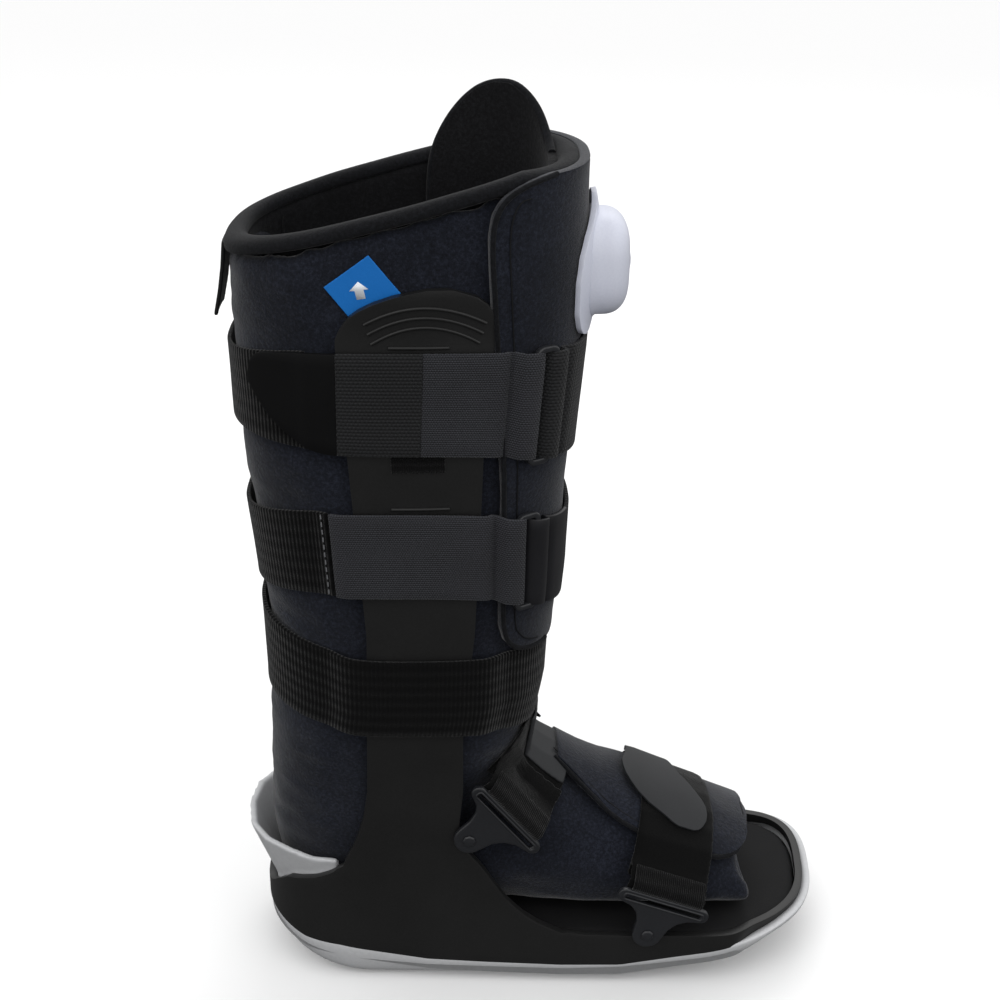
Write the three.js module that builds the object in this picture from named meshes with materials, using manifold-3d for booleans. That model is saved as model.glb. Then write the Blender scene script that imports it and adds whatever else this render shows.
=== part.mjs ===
// A tall walking boot for the right foot. Millimetres, +Z up, +X to the toe, -Y the outer side of the leg.
// X = 0 is the middle of the uprights, Y = 0 the middle of the sole and Z = 0 the ground.
import * as THREE from "three";
import { mergeVertices } from "three/addons/utils/BufferGeometryUtils.js";
import Module from "manifold-3d";

const wasm = await Module();
wasm.setup();

// Sole and foot bed
const soleLength = 303;
const heelOverhang = 86;
const heelWidth = 109;
const toeWidth = 121;
const heelArc = 59;
const toeArc = 68;
const toeSkew = 0.1;
const heelSquareness = 2.4;
const toeSquareness = 2.8;
const footBedHeight = 31.5;
const insoleThickness = 4;
const soleEdgeInset = 15;
const treadDepth = 1;
const leastSole = 3;
const treadWidth = 74;
const heelSlope = 0.05;
const heelBevel = 11;
const heelBevelStart = -30;
const heelBevelLength = 50;
const toeSlope = 0.085;
const toeSpring = 11.5;
const toeSpringStart = 76;
const toeSpringLength = 125;
const bumperWidth = 4.5;
const soleLap = 1;

// Moulded shell
const shellWall = 4;
const uprightHeight = 389.6;
const uprightWidth = 74;
const uprightSplay = 1.5;
const uprightGap = 0.7;
const ribHeight = 0.9;
const ribWidth = 1.6;
const ribSpacing = 4.6;
const collarHeight = 79;
const collarDrop = 4;
const collarWall = 3.5;
const collarFlare = 0.36;
const collarReach = 42;

// Padded liner
const rimHeight = 424;
const rimSlope = 0.27;
const rimFront = 436.5;
const trimHeight = 5;
const legDepth = 164;
const legWidth = 120;
const legSquareness = 2.6;
const linerWall = 8;
const footEnd = 181;
const footSquareness = 2.6;
const instepRoundness = 2.1;
const footTaper = 0.16;
const footLean = 0.28;
const instepHeight = 136;
const footWidth = 93;

// Flaps
const flapThickness = 5;
const flapEdge = 37.3;
const flapBottom = 202;
const flapTop = 437.5;
const lobeRise = 23;
const lobeDepth = 110;

// Air pump
const pumpHeight = 62;
const pumpWidth = 66;
const pumpBottom = 357;
const pumpPlate = 3;
const pumpMiddle = -2;
const bulbHeight = 48;
const bulbWidth = 42;
const bulbDepth = 15.5;
const bulbMiddle = 387;

// Straps
const strapThickness = 2;
const ringWire = 3;
const ringWidth = 13;
const footStrapWidth = 44;
const bracketThickness = 3;
const pinRadius = 3.6;
const tagThickness = 0.5;
const tabThickness = 1.6;
const strapRamp = 17;
const backTabWidth = 26;
const backTabLength = 36;

// Clearances
const gap = 0.3;
const strapGap = 0.8;

// Facets round the leg and round the foot
const legStations = 28;
const footStations = 20;

// Stations along half of the sole's outline: round the heel, along the side as shares of it, round the toe
const heelStations = 6;
const sideStations = [0.12, 0.33, 0.37, 0.41, 0.455, 0.51, 0.6, 0.8];
const toeStations = 7;
const planStations = heelStations + sideStations.length + 1 + toeStations;

const near = -1;
const far = 1;
const heelBack = -heelOverhang;
const toeFront = soleLength - heelOverhang;
const floorTop = footBedHeight - insoleThickness - gap;
const linerBottom = footBedHeight + gap;

const colours = {
  fleece: [0x1f2229, 0.95],
  lining: [0x1a1b1e, 0.9],
  binding: [0x232427, 0.9],
  moulding: [0x1d1d1e, 0.5],
  paleRubber: [0xa4a5a8, 0.6],
  palePlastic: [0xc5c8d0, 0.4],
  footBed: [0x2a2a2b, 0.8],
  webbing: [0x2c2d30, 0.85],
  loopPile: [0x111113, 0.95],
  smoothTab: [0x38393b, 0.6],
  hardware: [0x232426, 0.4],
  tag: [0x146cb6, 0.6],
};

// Leg sections: height as a share of the rim's, back and front of the leg's depth, half of its width.
const legSections = [
  { up: 0.0785, back: -0.4, front: 0.24, half: 0.3 },
  { up: 0.092, back: -0.439, front: 0.268, half: 0.333 },
  { up: 0.11, back: -0.466, front: 0.28, half: 0.356 },
  { up: 0.145, back: -0.49, front: 0.287, half: 0.37 },
  { up: 0.186, back: -0.506, front: 0.293, half: 0.383 },
  { up: 0.24, back: -0.504, front: 0.305, half: 0.404 },
  { up: 0.33, back: -0.488, front: 0.342, half: 0.429 },
  { up: 0.4, back: -0.474, front: 0.374, half: 0.44 },
  { up: 0.479, back: -0.478, front: 0.381, half: 0.446 },
  { up: 0.55, back: -0.488, front: 0.396, half: 0.453 },
  { up: 0.66, back: -0.516, front: 0.405, half: 0.467 },
  { up: 0.719, back: -0.531, front: 0.418, half: 0.475 },
  { up: 0.825, back: -0.539, front: 0.442, half: 0.489 },
  { up: 0.915, back: -0.543, front: 0.451, half: 0.4975 },
  { up: 1.13, back: -0.538, front: 0.451, half: 0.5 },
];

// Foot sections: place as a share of the foot's end, top of the instep's height, half of the foot's width.
const footSections = [
  { along: -0.14, top: 0.8, half: 0.42 },
  { along: 0.08, top: 0.9, half: 0.46 },
  { along: 0.28, top: 0.94, half: 0.49 },
  { along: 0.35, top: 0.86, half: 0.5 },
  { along: 0.46, top: 0.765, half: 0.5 },
  { along: 0.53, top: 0.72, half: 0.5 },
  { along: 0.65, top: 0.665, half: 0.495 },
  { along: 0.73, top: 0.615, half: 0.485 },
  { along: 0.87, top: 0.53, half: 0.465 },
  { along: 1, top: 0.45, half: 0.43 },
];

// Top edge of the tray's wall: place as a share of the sole's length, height of the upright's.
const wallRim = [
  { along: 0, up: 0.1 },
  { along: 0.026, up: 0.133 },
  { along: 0.046, up: 0.15 },
  { along: 0.073, up: 0.159 },
  { along: 0.096, up: 0.166 },
  { along: 0.116, up: 0.174 },
  { along: 0.134, up: 0.183 },
  { along: 0.145, up: 0.195 },
  { along: 0.386, up: 0.197 },
  { along: 0.408, up: 0.17 },
  { along: 0.432, up: 0.1415 },
  { along: 0.459, up: 0.12 },
  { along: 0.49, up: 0.1025 },
  { along: 0.526, up: 0.0885 },
  { along: 0.562, up: 0.084 },
  { along: 0.647, up: 0.083 },
  { along: 0.878, up: 0.086 },
  { along: 1, up: 0.0885 },
];

// Line where the shell meets the sole: place along the sole, height as a share of the foot bed's.
const soleLine = [
  { along: 0, up: 0.97 },
  { along: 0.025, up: 0.91 },
  { along: 0.073, up: 0.77 },
  { along: 0.137, up: 0.745 },
  { along: 0.2, up: 0.635 },
  { along: 0.292, up: 0.49 },
  { along: 0.396, up: 0.44 },
  { along: 0.525, up: 0.42 },
  { along: 0.63, up: 0.49 },
  { along: 0.736, up: 0.7 },
  { along: 0.84, up: 0.93 },
  { along: 0.9, up: 0.96 },
  { along: 1, up: 0.97 },
];

// Outline of an upright: height as a share of its own, back and front edges of its width.
const uprightOutline = [
  { up: 0.15, back: -0.54, front: 0.58 },
  { up: 0.17, back: -0.56, front: 0.507 },
  { up: 0.19, back: -0.58, front: 0.44 },
  { up: 0.204, back: -0.545, front: 0.4 },
  { up: 0.217, back: -0.51, front: 0.325 },
  { up: 0.232, back: -0.475, front: 0.285 },
  { up: 0.249, back: -0.444, front: 0.262 },
  { up: 0.27, back: -0.412, front: 0.272 },
  { up: 0.31, back: -0.382, front: 0.295 },
  { up: 0.4, back: -0.371, front: 0.293 },
  { up: 0.547, back: -0.357, front: 0.37 },
  { up: 0.737, back: -0.427, front: 0.412 },
  { up: 0.788, back: -0.446, front: 0.42 },
  { up: 0.885, back: -0.485, front: 0.46 },
  { up: 0.942, back: -0.5, front: 0.49 },
  { up: 0.955, back: -0.46, front: 0.487 },
  { up: 0.968, back: -0.405, front: 0.475 },
  { up: 0.978, back: -0.324, front: 0.457 },
  { up: 0.988, back: -0.203, front: 0.4 },
  { up: 0.997, back: -0.04, front: 0.3 },
  { up: 1, back: 0.07, front: 0.22 },
];

// Lobe of the inner flap: turn round the leg in degrees, height over the rim as a share of its rise.
const lobeEdge = [
  { turn: -64, rise: -1.6 },
  { turn: -40, rise: -0.6 },
  { turn: -15, rise: -0.25 },
  { turn: 12, rise: 0 },
  { turn: 24, rise: 0.42 },
  { turn: 36, rise: 0.72 },
  { turn: 48, rise: 0.95 },
  { turn: 58, rise: 1.05 },
  { turn: 67, rise: 1.05 },
  { turn: 75, rise: 0.92 },
  { turn: 82, rise: 0.62 },
  { turn: 88, rise: 0.1 },
  { turn: 92, rise: -0.7 },
];

// Leg straps: top and bottom heights at the sides, at the front and at the back.
const topStrap = { top: 360.5, bottom: 310.5, frontTop: 354, frontBottom: 298, backTop: 351, backBottom: 314 };
const midStrap = { top: 280.5, bottom: 236, frontTop: 265, frontBottom: 217, backTop: 270, backBottom: 229 };
const lowStrap = { top: 200.5, bottom: 157.5, frontTop: 194, frontBottom: 146, backTop: 214, backBottom: 168 };

// Along a ringed strap, as shares of half of the upright's width: its ring, the tail's tip, the band's end
const topStops = { ring: 1.514, tip: -2, under: -1.324 };
const midStops = { ring: 1.351, tip: -1.038, under: -1.065 };

// Near edge of the foot flap: place along the foot, turn round it in degrees.
const footFlapEdge = [
  { along: 0.3, turn: -12 },
  { along: 0.41, turn: -20 },
  { along: 0.54, turn: -42 },
  { along: 0.63, turn: -52 },
  { along: 0.75, turn: -57 },
  { along: 0.85, turn: -58 },
  { along: 0.9, turn: -53 },
  { along: 0.94, turn: -43 },
  { along: 0.965, turn: -26 },
];

// Foot straps: middle of the slot on the shell's side, and the slant of the strap's edge in degrees.
const ankle = { x: 43, z: 107, slant: -50, pivotU: -3, pivotV: -22, lift: strapGap, tabRear: 0.3, tabFront: 0.55 };
const fore = {
  x: 126,
  z: 55,
  slant: -20,
  pivotU: -1,
  pivotV: -20,
  lift: flapThickness + gap + strapGap,
  tabRear: 0.1,
  tabFront: 0.62,
};

// Tag: its upper rear corner, its upper edge and its side edge.
const tag = { x: -40.7, z: 388.8, acrossX: 20.1, acrossZ: 15.2, downX: 14.1, downZ: -17.3 };

// Value of one column of a table at a place in another, straight between rows.
function lookUp(table, key, place, column) {
  const last = table.length - 1;
  if (place <= table[0][key]) return table[0][column];
  for (let i = 1; i <= last; i++) {
    const a = table[i - 1];
    const b = table[i];
    if (place <= b[key]) {
      const t = (place - a[key]) / (b[key] - a[key]);
      return a[column] + t * (b[column] - a[column]);
    }
  }
  return table[last][column];
}

const signedPower = (value, power) => Math.sign(value) * Math.abs(value) ** power;
const mix = (a, b, t) => a + (b - a) * t;
const radians = THREE.MathUtils.degToRad;
const smooth = (value, from, to) => THREE.MathUtils.smoothstep(value, from, to);

// Closed geometry from points and triangles, turned so that its faces point out.
function closedGeometry(points, faces) {
  let volume = 0;
  for (const [a, b, c] of faces) {
    volume += points[a].dot(new THREE.Vector3().crossVectors(points[b], points[c]));
  }
  const index = faces.flatMap(([a, b, c]) => (volume < 0 ? [a, c, b] : [a, b, c]));
  const geometry = new THREE.BufferGeometry();
  geometry.setAttribute("position", new THREE.Float32BufferAttribute(points.flatMap((p) => p.toArray()), 3));
  geometry.setIndex(index);
  return geometry;
}

// Rings of equal length joined in order. Each end is closed by strips between the points i and n - i.
function loft(rings) {
  const n = rings[0].length;
  const faces = [];
  const quad = (a, b, c, d) => faces.push([a, b, c], [a, c, d]);
  for (let r = 0; r + 1 < rings.length; r++) {
    for (let i = 0; i < n; i++) {
      const j = (i + 1) % n;
      quad(r * n + i, r * n + j, (r + 1) * n + j, (r + 1) * n + i);
    }
  }
  const end = (start, flip) => {
    const add = (a, b, c) => faces.push(flip ? [start + a, start + c, start + b] : [start + a, start + b, start + c]);
    add(0, n - 1, 1);
    for (let i = 1; i < n / 2 - 1; i++) {
      add(i, n - i, n - i - 1);
      add(i, n - i - 1, i + 1);
    }
    add(n / 2 - 1, n / 2 + 1, n / 2);
  };
  end(0, false);
  end((rings.length - 1) * n, true);
  return closedGeometry(rings.flat(), faces);
}

// A sheet with a thickness: place(column, row, side) gives a point, side 0 the inner and 1 the outer face.
function sheet(columns, rows, place, closed = false) {
  const points = [];
  for (let c = 0; c < columns; c++) {
    for (let r = 0; r < rows; r++) points.push(place(c, r, 0), place(c, r, 1));
  }
  const at = (c, r, side) => ((c % columns) * rows + r) * 2 + side;
  const faces = [];
  const quad = (a, b, c, d) => faces.push([a, b, c], [a, c, d]);
  const spans = closed ? columns : columns - 1;
  for (let c = 0; c < spans; c++) {
    for (let r = 0; r + 1 < rows; r++) {
      quad(at(c, r, 1), at(c + 1, r, 1), at(c + 1, r + 1, 1), at(c, r + 1, 1));
      quad(at(c, r, 0), at(c, r + 1, 0), at(c + 1, r + 1, 0), at(c + 1, r, 0));
    }
    quad(at(c, 0, 0), at(c + 1, 0, 0), at(c + 1, 0, 1), at(c, 0, 1));
    quad(at(c, rows - 1, 0), at(c, rows - 1, 1), at(c + 1, rows - 1, 1), at(c + 1, rows - 1, 0));
  }
  for (let r = 0; r + 1 < rows && !closed; r++) {
    const e = columns - 1;
    quad(at(0, r, 0), at(0, r, 1), at(0, r + 1, 1), at(0, r + 1, 0));
    quad(at(e, r, 0), at(e, r + 1, 0), at(e, r + 1, 1), at(e, r, 1));
  }
  return closedGeometry(points, faces);
}

function toSolid(geometry) {
  const bare = geometry.clone();
  bare.deleteAttribute("normal");
  bare.deleteAttribute("uv");
  const merged = mergeVertices(bare, 1e-4);
  const triVerts = new Uint32Array(merged.index.array);
  return new wasm.Manifold(
    new wasm.Mesh({ numProp: 3, vertProperties: merged.attributes.position.array, triVerts }),
  );
}

function toGeometry(solid) {
  const mesh = solid.getMesh();
  const geometry = new THREE.BufferGeometry();
  geometry.setAttribute("position", new THREE.BufferAttribute(new Float32Array(mesh.vertProperties), 3));
  geometry.setIndex(new THREE.BufferAttribute(new Uint32Array(mesh.triVerts), 1));
  return geometry;
}

// A box for cutting, turned by an angle about Y and set with its middle at a point.
function cutter(size, middle, angle = 0) {
  const box = new THREE.BoxGeometry(...size);
  box.rotateY(angle);
  box.translate(...middle);
  return toSolid(box);
}

// Point of the leg's outer surface, moved out by a distance. Turn 0 is the front, -90 degrees the near side.
function legPoint(turn, z, out) {
  const up = z / rimHeight;
  const back = lookUp(legSections, "up", up, "back") * legDepth;
  const front = lookUp(legSections, "up", up, "front") * legDepth;
  const half = lookUp(legSections, "up", up, "half") * legWidth;
  const power = 2 / legSquareness;
  return new THREE.Vector3(
    (front + back) / 2 + ((front - back) / 2 + out) * signedPower(Math.cos(turn), power),
    (half + out) * signedPower(Math.sin(turn), power),
    z,
  );
}

// Half width of the leg at a place along X.
function legHalf(x, z, out) {
  const front = legPoint(0, z, out).x;
  const back = legPoint(Math.PI, z, out).x;
  const share = Math.min(1, Math.abs((2 * x - front - back) / (front - back)));
  const half = legPoint(Math.PI / 2, z, out).y;
  return half * (1 - share ** legSquareness) ** (1 / legSquareness);
}

// Turn at which the leg's surface has a given X, on the near or far side.
function turnAt(x, z, out, side) {
  const front = legPoint(0, z, out).x;
  const back = legPoint(Math.PI, z, out).x;
  const share = THREE.MathUtils.clamp((2 * x - front - back) / (front - back), -1, 1);
  return side * Math.acos(signedPower(share, legSquareness / 2));
}

function legRing(z, out) {
  return Array.from({ length: legStations }, (_, i) => {
    return legPoint(Math.PI + (2 * Math.PI * i) / legStations, z, out);
  });
}

// Point of the foot's outer surface, moved out by a distance. Turn 0 is the top, negative the near side.
function footPoint(turn, x, out) {
  const along = x / footEnd;
  const top = lookUp(footSections, "along", along, "top") * instepHeight + out;
  const half = lookUp(footSections, "along", along, "half") * footWidth + out;
  const bottom = linerBottom - out;
  const power = 2 / (Math.cos(turn) > 0 ? instepRoundness : footSquareness);
  const rise = signedPower(Math.cos(turn), power);
  const y = half * signedPower(Math.sin(turn), power) * (1 - footTaper * rise);
  return new THREE.Vector3(x, y, (top + bottom) / 2 + ((top - bottom) / 2) * rise);
}

function footRing(x, out) {
  return Array.from({ length: footStations }, (_, i) => {
    return footPoint(Math.PI + (2 * Math.PI * i) / footStations, x, out);
  });
}

// Leg and foot as one solid, swollen by a distance, with its lowest and foremost planes given.
function legAndFoot(out, bottom, end, start) {
  const heights = legSections.map((s) => s.up * rimHeight).filter((z) => z > bottom + 1);
  const leg = loft([bottom, ...heights].map((z) => legRing(z, out)));
  const inside = footSections.map((s) => s.along * footEnd).filter((x) => x > start + 1 && x < end - 12);
  const rings = [start, ...inside, end].map((x) => footRing(x, out));
  for (const point of rings.at(-1)) point.x -= footLean * (point.z - linerBottom);
  return toSolid(leg).add(toSolid(loft(rings)));
}

// Everything above the sloping rim, lowered by a distance.
function aboveRim(drop) {
  const size = 400;
  const tilt = Math.atan(rimSlope);
  const lift = rimHeight - drop + size / 2 / Math.cos(tilt);
  const slope = cutter([2 * size, size, size], [0, 0, lift], -tilt);
  const flat = cutter([size, size, size], [0, 0, rimFront - drop + size / 2]);
  return slope.add(flat);
}

// Outline of the sole at an inset, with its height given along the length: heel middle, near side, toe.
function planHalf(station, inset) {
  const heelX = heelBack + heelArc;
  const toeX = toeFront - toeArc;
  if (station <= heelStations) {
    const angle = ((station / heelStations) * Math.PI) / 2;
    const power = 2 / heelSquareness;
    return [
      heelX - (heelArc - inset) * Math.cos(angle) ** power,
      (heelWidth / 2 - inset) * Math.sin(angle) ** power,
    ];
  }
  const side = station - heelStations - 1;
  if (side < sideStations.length) {
    const share = sideStations[side];
    return [mix(heelX, toeX, share), mix(heelWidth / 2, toeWidth / 2, share) - inset];
  }
  const angle = (((planStations - station) / toeStations) * Math.PI) / 2;
  const power = 2 / toeSquareness;
  return [
    toeX + (toeArc - inset) * Math.cos(angle) ** power,
    (toeWidth / 2 - inset) * Math.sin(angle) ** power,
  ];
}

function planPoint(index, insetAt, heightAt) {
  const mirrored = index > planStations;
  const station = mirrored ? 2 * planStations - index : index;
  const outlineX = planHalf(station, 0)[0];
  const [x, half] = planHalf(station, insetAt(outlineX));
  const y = mirrored ? half : -half;
  const skew = toeSkew * y * smooth(alongSole(x), 0.78, 0.95);
  return new THREE.Vector3(x + skew, y, heightAt(x, outlineX));
}

function planRing(insetAt, heightAt) {
  return Array.from({ length: 2 * planStations }, (_, i) => planPoint(i, insetAt, heightAt));
}

// Half width of the sole's outline at a place along X.
function planWidth(x) {
  for (let i = 1; i <= planStations; i++) {
    const [x0, y0] = planHalf(i - 1, 0);
    const [x1, y1] = planHalf(i, 0);
    if (x <= x1) return mix(y0, y1, (x - x0) / (x1 - x0));
  }
  return 0;
}

const alongSole = (x) => (x - heelBack) / soleLength;
const rimAt = (x) => lookUp(wallRim, "along", alongSole(x), "up") * uprightHeight;
const rimBeside = (x, outlineX) => rimAt(outlineX);
const soleLineAt = (x) => lookUp(soleLine, "along", alongSole(x), "up") * footBedHeight;
const bumperAt = (x) => bumperWidth * smooth(alongSole(x), 0.82, 0.9);

// Bottom of the sole round its tread: flat in the middle, bevelled at the heel and sprung at the toe.
function groundAt(x) {
  const heel = Math.max(0, heelBevelStart - x);
  const toe = Math.max(0, x - toeSpringStart);
  const atHeel = heelSlope * heel + heelBevel * (heel / heelBevelLength) ** 2;
  const atToe = toeSlope * toe + toeSpring * (toe / toeSpringLength) ** 4;
  return Math.min(treadDepth + atHeel + atToe, trayUnderside(x) - gap - leastSole);
}

function trayUnderside(x) {
  return Math.min(soleLineAt(x), floorTop - shellWall);
}

function makeOutsole() {
  const under = (drop) => (x) => Math.min(groundAt(x), soleLineAt(x) - drop);
  const block = loft([
    planRing(() => soleEdgeInset, under(6)),
    planRing(() => 4, (x) => Math.min(groundAt(x) + 4, soleLineAt(x) - 2)),
    planRing(() => 0, (x) => soleLineAt(x) + soleLap),
  ]);
  const seat = loft([
    planRing((x) => bumperAt(x) + shellWall, (x) => trayUnderside(x) - gap),
    planRing((x) => bumperAt(x) - gap, (x) => soleLineAt(x) - gap),
    planRing((x) => bumperAt(x) - gap, () => uprightHeight),
  ]);
  const length = toeSpringStart - heelBevelStart - 2 * treadDepth;
  const middle = [(toeSpringStart + heelBevelStart) / 2, 0, 2 * treadDepth];
  const tread = cutter([length, treadWidth, 4 * treadDepth], middle);
  return toSolid(block).subtract(toSolid(seat)).add(tread);
}

function makeTray() {
  const inner = (x) => bumperAt(x) + shellWall;
  return toSolid(
    loft([
      planRing((x) => bumperAt(x) + shellWall, trayUnderside),
      planRing(bumperAt, (x, outlineX) => Math.min(soleLineAt(outlineX), rimAt(outlineX) - 1)),
      planRing(bumperAt, rimBeside),
      planRing(inner, rimBeside),
      planRing(inner, () => floorTop),
    ]),
  );
}

// Inner face of an upright: along the tray's wall below, along the liner above.
function uprightInner(x, z) {
  const low = planWidth(x) - shellWall;
  const lift = uprightGap + uprightSplay * smooth(z / uprightHeight, 0.935, 1);
  return mix(low, legHalf(x, z, lift), smooth(z / uprightHeight, 0.25, 0.42));
}

function makeUpright(side) {
  const columns = 7;
  const plate = sheet(columns, uprightOutline.length, (c, r, face) => {
    const row = uprightOutline[r];
    const z = row.up * uprightHeight;
    const x = mix(row.back, row.front, c / (columns - 1)) * uprightWidth;
    return new THREE.Vector3(x, side * (uprightInner(x, z) + face * shellWall), z);
  });
  return toSolid(plate);
}

// One raised arc near the top of an upright, lower by its number.
function makeRib(side, number) {
  const steps = 7;
  const halfWidth = uprightWidth * (0.4 - 0.02 * number);
  const crown = uprightHeight * 0.982 - number * ribSpacing;
  const sag = uprightHeight * 0.024;
  return toSolid(
    sheet(steps, 2, (c, r, face) => {
      const s = (2 * c) / (steps - 1) - 1;
      const x = s * halfWidth + uprightWidth * 0.04;
      const z = crown - sag * s ** 2 + (r - 0.5) * ribWidth;
      const rise = face ? ribHeight : -1;
      return new THREE.Vector3(x, side * (uprightInner(x, z) + shellWall + rise), z);
    }),
  );
}

// A thin level lip on an upright, just above a strap.
function makeLip(side, z) {
  const steps = 5;
  const halfWidth = uprightWidth * 0.38;
  return toSolid(
    sheet(steps, 2, (c, r, face) => {
      const x = ((2 * c) / (steps - 1) - 1) * halfWidth;
      const rise = face ? ribHeight * (1 - 0.4 * r) : -1;
      const height = z + r * ribWidth;
      return new THREE.Vector3(x, side * (uprightInner(x, height) + shellWall + rise), height);
    }),
  );
}

function makeShell() {
  let shell = makeTray();
  for (const side of [near, far]) {
    shell = shell.add(makeUpright(side));
    for (let number = 0; number < 3; number++) shell = shell.add(makeRib(side, number));
    for (const strap of [topStrap, midStrap]) shell = shell.add(makeLip(side, strap.top + 1));
  }
  return shell;
}

function makeCollar() {
  const rows = 6;
  let reach = 0;
  while (planHalf(reach + 1, 0)[0] < -collarReach) reach += 1;
  const bottom = footBedHeight + gap;
  return sheet(2 * reach + 1, rows, (c, r, face) => {
    const index = (2 * planStations + c - reach) % (2 * planStations);
    const rim = rimAt(planHalf(Math.abs(c - reach), 0)[0]);
    const top = collarHeight - collarDrop * smooth(planHalf(Math.abs(c - reach), 0)[0], -80, -50);
    const fold = Math.min(rim + 1.5, top - 1);
    const z = r === 0 ? bottom : mix(fold, top, (r - 1) / (rows - 2));
    const inset = (x) => {
      const flare = collarFlare * Math.max(0, z - rimAt(x) - 1);
      return shellWall + gap - flare + (1 - face) * collarWall;
    };
    return planPoint(index, inset, () => z);
  });
}

function makeInsole() {
  const inset = (x) => bumperAt(x) + shellWall + gap;
  return loft([
    planRing(inset, () => floorTop + gap),
    planRing(inset, () => footBedHeight),
  ]);
}

// The whole padded form swollen by a distance, to cut what lies on it.
const swollenBoot = (out) => legAndFoot(out, linerBottom, footEnd + 4, footStart);

const cavityEnd = footEnd + 20;
const footStart = footSections[0].along * footEnd;
const paddedBoot = legAndFoot(0, linerBottom, footEnd, footStart);
const cavity = legAndFoot(-linerWall, linerBottom + linerWall, cavityEnd, footStart + linerWall);

function makeLiner() {
  return paddedBoot.subtract(cavity).subtract(aboveRim(trimHeight));
}

function makeTrim() {
  const lowered = aboveRim(trimHeight - gap);
  return paddedBoot.subtract(cavity).intersect(lowered).subtract(aboveRim(0));
}

// Where a strap climbs onto the upright behind it and comes off in front.
function uprightEdges(z) {
  const up = z / uprightHeight;
  const margin = 2.5;
  return [
    lookUp(uprightOutline, "up", up, "back") * uprightWidth - margin,
    lookUp(uprightOutline, "up", up, "front") * uprightWidth + margin,
  ];
}

// Turns from one angle to another, a full round or less, that hold the leg's facets and the strap's ramps.
function strapTurns(from, to, z, stops) {
  const closed = to - from > 6.28;
  const step = (2 * Math.PI) / legStations;
  const half = uprightWidth / 2;
  const [back, front] = uprightEdges(z);
  const turns = [...stops];
  for (let k = Math.ceil(from / step); k * step < to - 1e-6; k++) turns.push(k * step);
  const behind = [back - strapRamp, back - strapRamp / 2, back];
  const ahead = z < flapBottom ? [front, front + strapRamp / 2, front + strapRamp] : [half - 5, half - 1];
  for (const x of [...behind, ...ahead]) {
    for (const side of [near, far]) {
      for (const lap of [-1, 0, 1]) {
        const turn = turnAt(x, z, 0, side) + lap * 2 * Math.PI;
        const nearby = turns.findIndex((other) => Math.abs(other - turn) < step * 0.3);
        if (turn <= from || turn >= to) continue;
        if (nearby >= 0 && nearby < stops.length) continue;
        if (nearby >= 0) turns[nearby] = turn;
        else turns.push(turn);
      }
    }
  }
  const inside = turns.filter((turn) => turn > from + 0.04 && turn < to - 0.04);
  const all = closed ? turns : [from, ...inside, to];
  return all.sort((p, q) => p - q);
}

function rimPlane(x) {
  return Math.min(rimHeight + rimSlope * x, rimFront);
}

function makeInnerFlap() {
  const rows = 4;
  const outer = -linerWall - 3 * gap;
  return sheet(lobeEdge.length, rows, (c, r, face) => {
    const turn = radians(lobeEdge[c].turn);
    const top = rimPlane(legPoint(turn, rimHeight, outer).x) + lobeEdge[c].rise * lobeRise;
    const z = mix(rimHeight - lobeDepth, top, r / (rows - 1));
    return legPoint(turn, z, outer - (1 - face) * flapThickness);
  });
}

// Near edge of the front flap at a height, rounded away from its edge line at both corners.
function flapEdgeX(z) {
  const low = Math.max(0, (flapBottom + 36 - z) / 36);
  const high = Math.max(0, (z - (flapTop - 27)) / 27);
  return flapEdge + 22 * low ** 1.4 + 36 * high ** 4;
}

function makeOuterFlap() {
  const heights = [0, 0.03, 0.07, 0.11, 0.155, 0.3, 0.42, 0.55, 0.72, 0.886, 0.93, 0.965, 0.985, 1];
  const columns = 12;
  const flap = sheet(columns, heights.length, (c, r, face) => {
    const z = mix(flapBottom, flapTop, heights[r]);
    const from = turnAt(flapEdgeX(z), z, 0, near);
    const to = turnAt(uprightWidth / 2 + 4, z, 0, far);
    return legPoint(mix(from, to, c / (columns - 1)), z, face * (gap + flapThickness) - (1 - face));
  });
  return toSolid(flap).subtract(swollenBoot(gap));
}

function makeFootFlap() {
  const columns = 10;
  const rows = 10;
  const from = footEnd * 0.3;
  const to = footEnd * footFlapEdge.at(-1).along;
  const flap = sheet(columns, rows, (c, r, face) => {
    const x = mix(from, to, c / (columns - 1));
    const edge = lookUp(footFlapEdge, "along", x / footEnd, "turn");
    const turn = radians(mix(edge, 100, r / (rows - 1)));
    return footPoint(turn, x, face * (gap + flapThickness) - (1 - face));
  });
  return toSolid(flap).subtract(swollenBoot(gap)).subtract(footStrapRegion(ankle, gap));
}

// Distance out to a strap's inner face: over the liner, over the upright and over the front flap.
function strapLift(turn, z) {
  const x = legPoint(turn, z, 0).x;
  const half = uprightWidth / 2;
  const [back, front] = uprightEdges(z);
  const onUpright = smooth(x, back - strapRamp, back);
  const overShell = uprightGap + shellWall + strapGap;
  if (z < flapBottom) {
    return mix(strapGap, overShell, onUpright * (1 - smooth(x, front, front + strapRamp)));
  }
  const onFlap = smooth(x, half - 5, half - 1);
  return mix(mix(strapGap, overShell, onUpright), flapThickness + gap + strapGap, onFlap);
}

function strapHeight(strap, turn, share) {
  const front = Math.max(0, Math.cos(turn)) ** 2;
  const back = Math.max(0, -Math.cos(turn)) ** 2;
  const top = strap.top + (strap.frontTop - strap.top) * front + (strap.backTop - strap.top) * back;
  const bottom =
    strap.bottom + (strap.frontBottom - strap.bottom) * front + (strap.backBottom - strap.bottom) * back;
  return mix(bottom, top, share);
}

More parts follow.
